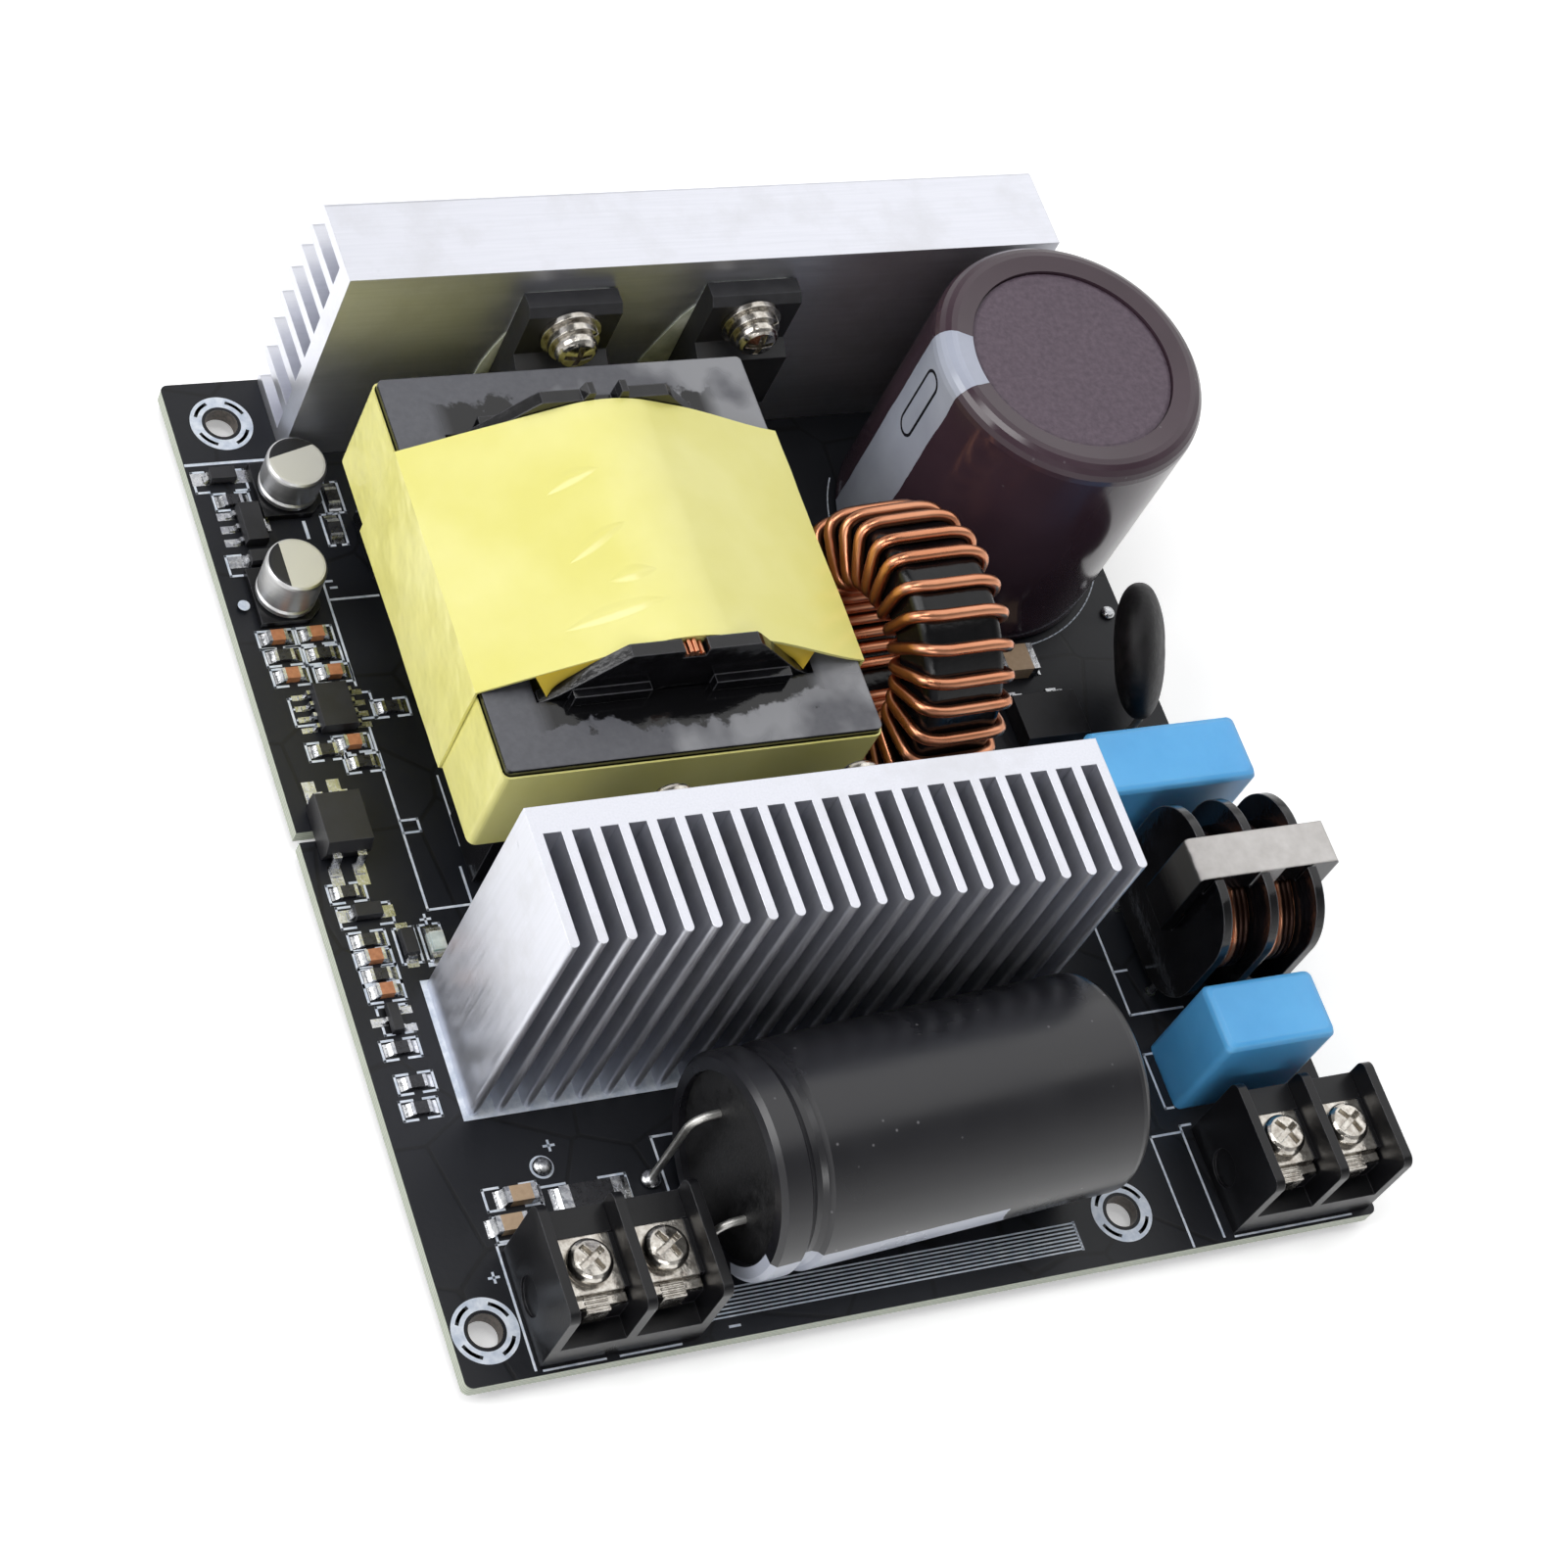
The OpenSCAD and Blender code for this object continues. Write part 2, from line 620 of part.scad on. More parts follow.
module transformer_bobbin() {
    rail_l = core_l/2 - rail_inset - window_l/2 + flange_t;
    rail_h = xf_z - core_h/2 - 0.2 - rail_z;
    lip_l = 1.05;
    lip_half = flange_half - 2.8;
    color("#141416") at_transformer() difference() {
        union() {
            along_y(window_l - 0.2) circle(tube_r);
            for (side = [-1, 1]) {
                translate([0, side*(window_l/2 - 0.1 - flange_t/2), 0]) along_y(flange_t) flange_profile(side > 0);
                for (x = [-lip_half, 3.4])
                    translate([x, side*(window_l/2 + lip_l/2 - 0.2) - lip_l/2, core_h/2 + 0.05])
                        cube([lip_half - 3.4, lip_l, 1.5]);
                translate([-rail_half, side*(core_l/2 - rail_inset - rail_l/2) - rail_l/2, -xf_z + rail_z])
                    cube([2*rail_half, rail_l, rail_h]);
            }
        }
        along_y(window_l + 1) circle(core_post_d/2 + 0.25);
        for (p = transformer_points)
            translate([p[0] - xf_x, p[1] - xf_y, -xf_z - 1]) cylinder(r = wire_r, h = rail_z + 4);
    }
}

module transformer_winding() {
    l = window_l - 2*flange_t - 0.6;
    color("#d8c64a") at_transformer() difference() {
        along_y(l) circle(winding_r);
        along_y(l + 2) circle(tube_r + fit_gap);
    }
}

module core_tape() {
    inner_w = core_w + 2*fit_gap/5;
    color("#efe98f") at_transformer() translate([0, 0, -core_h/2]) linear_extrude(core_h - core_tape_drop)
    difference() {
        rounded_rect(core_w + 2*tape_t, core_l + 2*tape_t, core_corner_r + tape_t);
        rounded_rect(inner_w, core_l + 2*fit_gap/5, core_corner_r);
    }
}

// Outline of tape pulled over the winding: straight from the core's edges, round over the coil
function tent(half_w, half_h, r) = let (
        reach = norm([half_w, half_h]),
        touch = atan2(half_h, half_w) + acos(r/reach))
    concat([[half_w, half_h]], arc(0, 0, r, touch, 180 - touch, 14), [[-half_w, half_h]],
        [[-half_w, -half_h]], arc(0, 0, r, 180 + touch, 360 - touch, 14), [[half_w, -half_h]]);

module winding_tape() {
    half_w = core_w/2 + tape_t + fit_gap/2;
    half_h = core_h/2 + fit_gap/2;
    color("#efe98f") at_transformer() along_y(band_w) difference() {
        polygon(tent(half_w + tape_t, half_h + tape_t/2, winding_r + fit_gap + tape_t));
        polygon(tent(half_w, half_h, winding_r + fit_gap));
    }
}

module transformer_pins() {
    color("silver") straight_leads(transformer_points, rail_z + 3);
}

// Bulk capacitor

module bulk_capacitor() {
    r = bulk_d/2;
    lip = 1;
    color("#4a343f") on_board(bulk_x, bulk_y) rotate_extrude() polygon(concat(
        [[0, 0], [r - 0.6, 0], [r, 0.6]],
        arc(r - bulk_edge_r, bulk_h - bulk_edge_r, bulk_edge_r, 0, 90, 5),
        [[disc_r, bulk_h - 0.3], [disc_r, bulk_h - lip], [0, bulk_h - lip]]));
}

module bulk_capacitor_disc() {
    color("#5d4d58") on_board(bulk_x, bulk_y, bulk_h - 1) rotate_extrude() polygon([
        [0, 0], [disc_r - 0.1, 0], [disc_r - 0.1, disc_t - 0.1], [disc_r - 0.5, disc_t], [0, disc_t]]);
}

module bulk_capacitor_pins() {
    color("silver") straight_leads(bulk_points, 0);
}

// Output capacitor, drawn along X from its bung end

module at_output_capacitor() on_board(out_x, out_y, out_z) rotate([0, 0, out_yaw]) children();

module output_capacitor() {
    r = out_d/2;
    bead = 4.2;
    color("#2b2a2d") at_output_capacitor() rotate([0, 90, 0]) rotate_extrude() polygon(concat(
        [[0, bung_in], [bung_r, bung_in], [bung_r, 0], [r - 0.5, 0], [r, 0.5], [r, bead - 1.2]],
        arc(r + 0.5, bead, 1.3, 247, 113, 5),
        [[r, bead + 1.2]],
        arc(r - 1.4, out_l - 1.4, 1.4, 0, 90, 5),
        [[0, out_l]]));
}

module output_capacitor_bung() {
    color("#151516") at_output_capacitor() rotate([0, 90, 0]) difference() {
        translate([0, 0, 0.7]) cylinder(r = bung_r, h = bung_in - 0.7);
        for (k = [-1, 1]) translate([-out_lead_side(k)[1], out_lead_side(k)[0], -1]) cylinder(r = wire_r, h = 5);
    }
}

module output_capacitor_leads() {
    color("silver") at_output_capacitor() for (k = [-1, 1]) translate([0, out_lead_side(k)[0], out_lead_side(k)[1]]) {
        down = out_z + out_lead_side(k)[1] + board_t + lead_out - out_bend_r;
        translate([-out_bend_s, 0, 0]) rotate([0, 90, 0]) cylinder(r = wire_r, h = bung_in + out_bend_s);
        translate([-out_bend_s, 0, -out_bend_r]) rotate([90, 0, 0]) rotate(90)
            rotate_extrude(angle = 90) translate([out_bend_r, 0]) circle(wire_r);
        translate([-out_bend_s - out_bend_r, 0, -out_bend_r - down]) cylinder(r = wire_r, h = down);
    }
}

// Toroid choke, drawn with its axis along Z and then stood up along X

module at_toroid() on_board(toroid_x, toroid_y, toroid_z) rotate([0, 0, toroid_yaw]) children();

module toroid_core() {
    ring_w = (toroid_d - toroid_hole_d)/2;
    color("#151517") at_toroid() rotate([0, 90, 0])
        rotate_extrude() translate([(toroid_d + toroid_hole_d)/4, 0]) rounded_rect(ring_w, toroid_t, 1);
}

// Centre line of the winding: each turn is a squarish loop round the core's section
toroid_loop = 16;
loop_power = 1/3;
loop_radial = (toroid_d - toroid_hole_d)/4 + toroid_wire_gap + toroid_wire_d/2;
loop_axial = toroid_t/2 + toroid_wire_gap + toroid_wire_d/2;
loop_mid = (toroid_d + toroid_hole_d)/4;
function squarish(v) = sign(v)*pow(abs(v), loop_power);
function wound(i) = let (
        t = 360*i/toroid_loop,
        a = toroid_start + toroid_step*i/toroid_loop,
        radius = loop_mid + loop_radial*squarish(cos(t)))
    [loop_axial*squarish(sin(t)), radius*cos(a), radius*sin(a)];
function around(i) = let (a = toroid_start + toroid_step*i/toroid_loop) [0, -sin(a), cos(a)];
winding_end = toroid_turns*toroid_loop;
lead_low = -toroid_z - board_t - lead_out;
function below(p, z) = [0, p[1], z];
function unit(v) = v/norm(v);
winding_path = concat(
    [below(wound(0), lead_low), below(wound(0), wound(0)[2] - 0.3)],
    [for (i = [1:winding_end - 1]) wound(i)],
    [below(wound(winding_end), wound(winding_end)[2] - 0.3), below(wound(winding_end), lead_low)]);

// Tube of round section along a list of points, with the side direction given at each
module tube_along(points, sides, r, n) {
    last = len(points) - 1;
    rings = [for (i = [0:last]) let (
            t = unit(points[min(i + 1, last)] - points[max(i - 1, 0)]),
            b = unit(sides[i] - (sides[i]*t)*t),
            c = cross(t, b))
        for (k = [0:n - 1]) points[i] + r*(cos(360*k/n)*b + sin(360*k/n)*c)];
    skin = [for (i = [0:last - 1], k = [0:n - 1]) let (k2 = (k + 1) % n)
        [i*n + k, (i + 1)*n + k, (i + 1)*n + k2, i*n + k2]];
    start = [for (k = [0:n - 1]) k];
    end = [for (k = [n - 1:-1:0]) last*n + k];
    polyhedron(rings, concat(skin, [start], [end]));
}

module toroid_winding() {
    sides = concat([[0, 1, 0], [0, 1, 0]], [for (i = [1:winding_end - 1]) around(i)], [[0, 1, 0], [0, 1, 0]]);
    color("#b8704f") at_toroid() tube_along(winding_path, sides, toroid_wire_d/2, 8);
}

// Thermistor, leaning on its leads

// The leads' straight upper ends run into the disc by this much
thermistor_in = 0.9;
module thermistor_lead_tops() {
    run = sqrt(pow(thermistor_d/2, 2) - pow(thermistor_lead_half, 2)) - thermistor_in;
    slope = (thermistor_down - thermistor_bend_r*sin(thermistor_lean))/cos(thermistor_lean);
    for (k = [-1, 1]) {
        p = thermistor_lead_at(k);
        on_board(p[0], p[1]) rotate(thermistor_yaw) translate([-thermistor_bend_r, 0, thermistor_bend_z])
            rotate([0, -thermistor_lean, 0]) translate([thermistor_bend_r, 0, 0])
                cylinder(r = wire_r, h = max(slope - run, 0.2));
    }
}

module thermistor() {
    r = thermistor_d/2;
    half = thermistor_t/2;
    color("#18181a") difference() {
        on_board(thermistor_x, thermistor_y, thermistor_z)
            rotate([0, 90 - thermistor_lean, thermistor_yaw]) rotate_extrude() polygon(concat(
                [[0, -half]], arc(r - half, 0, half, -70, 70, 8), [[0, half]]));
        thermistor_lead_tops();
    }
}

module thermistor_leads() {
    color("silver") {
        thermistor_lead_tops();
        for (k = [-1, 1]) {
            p = thermistor_lead_at(k);
            on_board(p[0], p[1]) rotate(thermistor_yaw) {
                translate([0, 0, -board_t - lead_out])
                    cylinder(r = wire_r, h = board_t + lead_out + thermistor_bend_z);
                translate([-thermistor_bend_r, 0, thermistor_bend_z]) rotate([90, 0, 0])
                    rotate_extrude(angle = thermistor_lean) translate([thermistor_bend_r, 0]) circle(wire_r);
            }
        }
    }
}

// Film capacitors

// Box with softened upright and top edges
module soft_box(l, w, h, r) {
    hull() {
        linear_extrude(h - r) rounded_rect(l, w, r);
        linear_extrude(h - r/3) rounded_rect(l - 2*r/3, w - 2*r/3, r);
        linear_extrude(h) rounded_rect(l - 2*r, w - 2*r, r);
    }
}

module front_film_capacitor() {
    color("#3f97d8") on_board(front_film_x, front_film_y) soft_box(front_film_l, front_film_w, front_film_h, 0.7, $fn = 24);
}

module rear_film_capacitor() {
    color("#3f97d8") on_board(rear_film_x, rear_film_y) soft_box(rear_film_l, rear_film_w, rear_film_h, 0.7, $fn = 24);
}

module film_capacitor_leads() {
    color("silver") straight_leads(concat(front_film_points, rear_film_points), 0);
}

// Line choke: closed ferrite frame, bobbin on its lower arm

module at_choke() on_board(choke_x, choke_y, choke_axis_z) children();

module choke_core() {
    up = choke_h - choke_arm;
    color("#a7a196") at_choke() along_y(choke_t) translate([0, up/2]) difference() {
        rounded_rect(choke_l, choke_h, 0.6);
        square([choke_window, choke_h - 2*choke_arm], center = true);
    }
}

module choke_bobbin() {
    up = choke_h - choke_arm;
    color("#141416") at_choke() difference() {
        union() {
            translate([choke_shift, 0, 0]) along_x(2*choke_end) circle(choke_tube_r);
            for (k = [-1, 0, 1]) translate([choke_shift + k*choke_end, 0, 0])
                along_x(choke_flange_t) rounded_rect(choke_flange, choke_flange, 6);
        }
        cube([choke_l, choke_t + 0.2, choke_arm + 0.2], center = true);
        translate([0, 0, up + 2]) cube([choke_l, choke_t + 0.3, choke_arm + 4.3], center = true);
        for (p = choke_points)
            translate([p[0] - choke_x, p[1] - choke_y, -choke_flange/2 - 1]) cylinder(r = wire_r, h = 3);
    }
}

module choke_winding(side) {
    room = choke_end - choke_flange_t - 0.1;
    step = room/choke_turns;
    color("#b8704f") at_choke() translate([choke_shift + side*choke_end/2, 0, 0]) rotate([0, 90, 0])
    difference() {
        union() {
            translate([0, 0, -room/2]) cylinder(r = choke_winding_r, h = room);
            for (i = [0:choke_turns - 1]) translate([0, 0, (i - (choke_turns - 1)/2)*step])
                rotate_extrude() translate([choke_winding_r, 0]) circle(choke_wire_r);
        }
        translate([0, 0, -room]) cylinder(r = choke_tube_r + fit_gap, h = 2*room);
    }
}
module choke_left_winding() choke_winding(-1);
module choke_right_winding() choke_winding(1);

module choke_pins() {
    color("silver") straight_leads(choke_points, choke_flange_z + 2);
}

// Terminal blocks

// Middle of a cell, measured from the block's left side
function cell_x(i) = terminal_wall/2 + (i + 0.5)*terminal_pitch;

module terminal_block(x) {
    corner = 1;
    color("#17171a") on_board(x, terminal_front) difference() {
        union() {
            translate([0, ledge_d, 0]) cube([terminal_w, terminal_depth - ledge_d, terminal_base_h]);
            cube([terminal_w, ledge_d + 0.1, ledge_h]);
            for (i = [0:2]) translate([i*terminal_pitch + terminal_wall/2, 0, 0]) along_x(terminal_wall) {
                square([terminal_depth, terminal_h - corner]);
                translate([corner, 0]) square([terminal_depth - 2*corner, terminal_h]);
                for (y = [corner, terminal_depth - corner]) translate([y, terminal_h - corner]) circle(corner);
            }
        }
        for (i = [0, 1]) {
            translate([cell_x(i), cell_y, terminal_base_h - 5]) cylinder(r = screw_hole_r, h = 6);
            translate([cell_x(i), contact_pin_y, -1]) cylinder(r = contact_pin_r + fit_gap, h = terminal_base_h + 2);
        }
        for (s = [0, terminal_w]) translate([s - 0.3, terminal_depth/2, 3]) rotate([0, 90, 0]) cylinder(r = 2, h = 0.6);
    }
}
module dc_terminal_block() terminal_block(dc_x);
module ac_terminal_block() terminal_block(ac_x);

// Repeats a piece in each of the four cells, at the top of the base
module in_cells(z = 0) {
    for (x = [dc_x, ac_x], i = [0, 1]) on_board(x + cell_x(i), terminal_front, terminal_base_h + z) children();
}

module terminal_contacts() {
    tongue_w = 2.4;
    drop = 1.5;
    color("gainsboro") in_cells() difference() {
        union() {
            translate([-contact_w/2, ledge_d, 0]) cube([contact_w, contact_pin_y + 1 - ledge_d, contact_t]);
            translate([-tongue_w/2, contact_front, -drop]) cube([tongue_w, ledge_d - contact_front - fit_gap, drop + contact_t]);
            translate([-tongue_w/2, contact_front, 0]) cube([tongue_w, ledge_d, contact_t]);
            translate([0, contact_pin_y, -terminal_base_h - board_t - lead_out])
                cylinder(r = contact_pin_r, h = terminal_base_h + board_t + lead_out + contact_t/2);
        }
        translate([0, cell_y, -1]) cylinder(r = screw_hole_r + 0.1, h = 4);
    }
}

module terminal_clamps() {
    color("gainsboro") in_cells(contact_t) translate([0, cell_y, 0]) difference() {
        translate([-clamp_w/2, -clamp_w/2, 0]) cube([clamp_w, clamp_w, clamp_t]);
        translate([0, 0, -1]) cylinder(r = screw_hole_r + 0.1, h = 4);
    }
}

module terminal_screws() {
    color("gainsboro") in_cells(contact_t + clamp_t) translate([0, cell_y, 0]) rotate(30) screw(contact_t + clamp_t + 4.5);
}

// Surface-mount can capacitors

module can_capacitor(p, h) {
    color("#c9c9cb") on_board(p[0], p[1], can_base_h) rotate_extrude() polygon(concat(
        [[0, 0], [can_r - 0.3, 0], [can_r, 0.3], [can_r, 0.8], [can_r - 0.25, 1.05], [can_r, 1.3]],
        arc(can_r - 0.5, h - can_base_h - 0.5, 0.5, 0, 90, 3), [[0, h - can_base_h]]));
}
module rear_can_capacitor() can_capacitor(rear_can, rear_can_h);
module front_can_capacitor() can_capacitor(front_can, front_can_h);

module can_capacitor_bases() {
    half = can_base_w/2;
    cut = 1.4;
    color("#1b1b1d") for (p = [rear_can, front_can]) on_board(p[0], p[1]) linear_extrude(can_base_h)
        polygon([[-half, -half], [half - cut, -half], [half, cut - half], [half, half - cut], [half - cut, half], [-half, half]]);
}

// Chips and other small parts

// Moulded chip body that tapers above and below its middle
module moulded(l, w, low, h) {
    on_edge = 0.12*h;
    translate([0, 0, low]) along_x(l) polygon([
        [-w/2 + on_edge, 0], [w/2 - on_edge, 0], [w/2, (h - low)/2], [w/2 - on_edge, h - low],
        [on_edge - w/2, h - low], [-w/2, (h - low)/2]]);
}

module controller_chip() {
    color("#1c1c1e") on_board(controller[0], controller[1]) rotate(90) moulded(4.9, 3.9, 0.15, 1.6);
}

module optocoupler() {
    color("#1c1c1e") on_board(opto[0], opto[1]) moulded(4.6, 6.3, 0.15, 3.4);
}

module small_transistors() {
    color("#1c1c1e") {
        on_board(small_transistor[0], small_transistor[1]) rotate(90) moulded(2.9, 1.3, 0.1, 1.1);
        on_board(regulator[0], regulator[1]) rotate(90) moulded(4.5, 2.5, 0, 1.5);
    }
}

module small_diodes() {
    color("#1c1c1e") for (p = diodes)
        on_board(p[0], strip_y(p[1])) rotate(p[2]) moulded(2.7, 1.6, 0.1, 1.15);
}

module bridge_rectifier() {
    color("#1c1c1e") on_board(bridge_x, bridge_y) moulded(7.6, 6, 0.15, 2.4);
}

// Lead bent from a body's side down to the board, towards +Y from the body's face
module gull_lead(w, reach, rise) {
    t = 0.2;
    along_x(w) polygon([
        [0, rise], [0, rise - t], [reach*0.35 - t, rise - t], [reach*0.35, 0], [reach, 0], [reach, t],
        [reach*0.35 + t, t], [reach*0.35, rise]]);
}

// A row of leads along one side of a body
module lead_row(p, turn, half, n, pitch, w, reach, rise) {
    for (k = [0:n - 1]) on_board(p[0], p[1]) rotate(turn) translate([(k - (n - 1)/2)*pitch, half, 0])
        gull_lead(w, reach, rise);
}

module chip_leads() {
    color("silver") {
        for (turn = [90, -90]) lead_row(controller, turn, 1.95, 4, 1.27, 0.42, 1.05, 0.95);
        for (turn = [0, 180]) lead_row(opto, turn, 3.15, 2, 2.54, 0.9, 1.6, 1.9);
        lead_row(small_transistor, 90, 0.65, 1, 1, 0.42, 0.6, 0.65);
        lead_row(small_transistor, -90, 0.65, 2, 1.9, 0.42, 0.6, 0.65);
        lead_row(regulator, 90, 1.25, 3, 1.6, 0.5, 1, 0.7);
        lead_row(regulator, -90, 1.25, 1, 1, 1.2, 0.8, 0.7);
        for (p = diodes, turn = [90, -90])
            lead_row([p[0], strip_y(p[1])], turn + p[2], 1.35, 1, 1, 0.9, 0.55, 0.65);
        for (turn = [0, 180]) lead_row([bridge_x, bridge_y], turn, 3, 2, 5, 1.2, 1.3, 1.3);
    }
}

// Chip sizes used on the board: length, width, height
resistor_size = [chip_l, chip_w, 0.5];
capacitor_size = [chip_l, chip_w, 0.9];
large_size = [3.2, 1.6, 1.2];
block_size = [4.5, 3.2, 1.9];
shunt_size = [6.3, 3.2, 0.6];
resistor_places = concat(
    [for (p = resistors) [p[0], strip_y(p[1]), p[2], resistor_size]],
    [[shunt_x, shunt_y, 0, shunt_size]]);
capacitor_places = concat(
    [for (p = capacitors) [p[0], strip_y(p[1]), p[2], capacitor_size]],
    [[dc_chip_x, dc_chip_y, 0, large_size], [dc_chip_2_x, dc_chip_2_y, 0, large_size]],
    [[mlcc_x, mlcc_y, 0, block_size]]);
lamp_size = [3.2, 1.6, 0.6];
lamp_places = [[lamp[0], lamp[1], 90, lamp_size]];
function end_l(size) = cap_l*size[0]/chip_l;

module chip_bodies(places) {
    for (p = places) on_board(p[0], p[1]) rotate(p[2])
        translate([0, 0, p[3][2]/2]) cube([p[3][0] - 2*end_l(p[3]), p[3][1], p[3][2]], center = true);
}

module chip_resistors() {
    color("#222326") chip_bodies(resistor_places);
}

module chip_capacitors() {
    color("#b0714b") chip_bodies(capacitor_places);
}

module chip_end_caps() {
    color("gainsboro") for (p = concat(resistor_places, capacitor_places, lamp_places), k = [-1, 1])
        on_board(p[0], p[1]) rotate(p[2]) translate([k*(p[3][0] - end_l(p[3]))/2, 0, p[3][2]/2])
            cube([end_l(p[3]), p[3][1], p[3][2]], center = true);
}

module indicator_lamp() {
    dome_l = 2;
    color("#eceeea") {
        chip_bodies(lamp_places);
        on_board(lamp[0], lamp[1]) rotate(90) translate([-dome_l/2, -0.7, 0.5]) cube([dome_l, 1.4, 0.6]);
    }
}

circuit_board();
solder_joints();
rear_heatsink();
front_heatsink();
heatsink_pins();
left_transistor();
right_transistor();
transistor_leads();
transistor_pads();
transistor_screws();
spring_washers();
flat_washers();
left_rectifier();
right_rectifier();
rectifier_frames();
rectifier_screws();
front_core_half();
rear_core_half();
transformer_bobbin();
transformer_winding();
core_tape();
winding_tape();
transformer_pins();
bulk_capacitor();
bulk_capacitor_disc();
bulk_capacitor_pins();
output_capacitor();
output_capacitor_bung();
output_capacitor_leads();
toroid_core();
toroid_winding();
thermistor();
thermistor_leads();
front_film_capacitor();
rear_film_capacitor();
film_capacitor_leads();
choke_core();
choke_bobbin();
choke_left_winding();
choke_right_winding();
choke_pins();
dc_terminal_block();
ac_terminal_block();
terminal_contacts();
terminal_clamps();
terminal_screws();
rear_can_capacitor();
front_can_capacitor();
can_capacitor_bases();
controller_chip();
optocoupler();
small_transistors();
small_diodes();
chip_leads();
chip_resistors();
chip_capacitors();
chip_end_caps();
indicator_lamp();
bridge_rectifier();
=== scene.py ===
"""Looks of an open-frame switching power supply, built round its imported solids."""
import json
import math
import random
from functools import partial

import bpy
from mathutils import Matrix, Vector


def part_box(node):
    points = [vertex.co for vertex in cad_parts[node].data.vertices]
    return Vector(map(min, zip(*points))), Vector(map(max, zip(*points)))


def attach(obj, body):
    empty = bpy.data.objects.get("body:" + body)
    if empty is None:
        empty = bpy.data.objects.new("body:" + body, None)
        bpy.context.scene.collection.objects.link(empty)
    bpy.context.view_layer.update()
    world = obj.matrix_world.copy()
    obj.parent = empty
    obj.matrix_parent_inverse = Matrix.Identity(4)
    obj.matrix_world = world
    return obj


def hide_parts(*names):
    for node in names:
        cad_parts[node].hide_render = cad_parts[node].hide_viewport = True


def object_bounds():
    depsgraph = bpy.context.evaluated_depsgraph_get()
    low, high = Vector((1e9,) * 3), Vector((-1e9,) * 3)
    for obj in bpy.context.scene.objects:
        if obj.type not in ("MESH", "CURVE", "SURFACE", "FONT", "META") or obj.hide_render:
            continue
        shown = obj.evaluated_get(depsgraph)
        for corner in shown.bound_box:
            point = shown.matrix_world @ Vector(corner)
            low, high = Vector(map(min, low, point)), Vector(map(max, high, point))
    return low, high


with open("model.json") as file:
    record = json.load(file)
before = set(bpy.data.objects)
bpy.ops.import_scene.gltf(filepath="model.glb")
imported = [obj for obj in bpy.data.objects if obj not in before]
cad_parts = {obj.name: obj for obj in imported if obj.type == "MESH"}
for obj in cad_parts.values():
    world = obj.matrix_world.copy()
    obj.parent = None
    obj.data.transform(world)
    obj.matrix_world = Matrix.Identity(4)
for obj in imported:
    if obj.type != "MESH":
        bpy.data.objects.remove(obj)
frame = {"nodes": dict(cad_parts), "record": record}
cad_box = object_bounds()

MM = 0.001
board_low, board_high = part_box("circuit_board")
board_corner = Vector((board_low.x, board_low.y, board_high.z))


def on_board(x, y, z=0.0):
    """A point in metres, measured in mm from the front left corner of the board's top."""
    return board_corner + Vector((x, y, z)) * MM


# Places and sizes of the solids, in mm from the front left corner of the board's top

fixing_holes = [(3.4, 5.2), (71.6, 5.2), (5.3, 106.8), (94.7, 106.8)]
resistors = [
    (3.9, 97.2, 0), (14.4, 96.7, 90), (13.6, 92.8, 90), (4.2, 78.4, 0), (8.3, 78.2, 0),
    (13.5, 71.3, 0), (5.5, 67.2, 0), (8.9, 65.4, 0), (3.2, 51.4, 0), (3.8, 46, 0),
    (3.9, 42.2, 0), (3.7, 34.3, 0), (4.1, 30.6, 0), (3.8, 27.9, 0)]
capacitors = [
    (4, 80.5, 0), (8.1, 80.5, 0), (4.3, 76, 0), (8.7, 75.9, 0),
    (8.4, 67.7, 0), (3.8, 44.1, 0), (3.9, 40.4, 0)]
chip_l = 2.0
transformer = (32.35, 72.3, 16.5)
tent_w, tent_h, tent_r, band_w = 20.375, 6.675, 13.05, 27.6
bulk = (84.8, 86.15)
sink_face = 102.3
out_end = (26.34, 12.45, 11.1)
toroid = (62.2, 63.7, 14.73)
toroid_yaw = math.radians(3.7)
choke = (90.85, 33.1, 10.15)
front_can = (6.0, 85.2)
rear_can = (9.7, 97.8)


# Materials

def linear(code):
    """Linear colour of an sRGB hex value."""
    parts = [int(code[i:i + 2], 16) / 255 for i in (1, 3, 5)]
    return [p / 12.92 if p <= 0.04045 else ((p + 0.055) / 1.055) ** 2.4 for p in parts] + [1.0]


def per_m(size_mm):
    """Pattern scale at which one feature is this many mm across."""
    return 1 / (size_mm * MM)


def connect(tree, node, inputs):
    """Links each input to a socket or to a node's first output in use, or sets it: colours come as hex."""
    for name, value in inputs.items():
        if isinstance(value, str):
            value = linear(value)
        if isinstance(value, bpy.types.Node):
            value = next(socket for socket in value.outputs if socket.enabled)
        if isinstance(value, bpy.types.NodeSocket):
            tree.links.new(value, node.inputs[name])
        else:
            node.inputs[name].default_value = value


def add_node(tree, kind, inputs=(), **settings):
    """Adds a node: its inputs are given by name, or as a list in the order of its sockets."""
    node = tree.nodes.new("ShaderNode" + kind)
    for name, value in settings.items():
        setattr(node, name, value)
    connect(tree, node, inputs if isinstance(inputs, dict) else dict(enumerate(inputs)))
    return node


def shade(material, **sockets):
    """Sets or links the sockets of a material's shader, named in small letters."""
    tree = material.node_tree
    names = {name.replace("_", " ").title().replace("Ior", "IOR"): value for name, value in sockets.items()}
    connect(tree, tree.nodes["Principled BSDF"], names)
    return material


def begin(name, **sockets):
    """A new material with some sockets set, the function that adds its nodes, and object coordinates."""
    material = bpy.data.materials.new(name)
    material.use_nodes = True
    shade(material, **sockets)
    add = partial(add_node, material.node_tree)
    return material, add, add("TexCoord").outputs["Object"]


# Sockets of the two colours that a Mix node blends
A, B = 6, 7


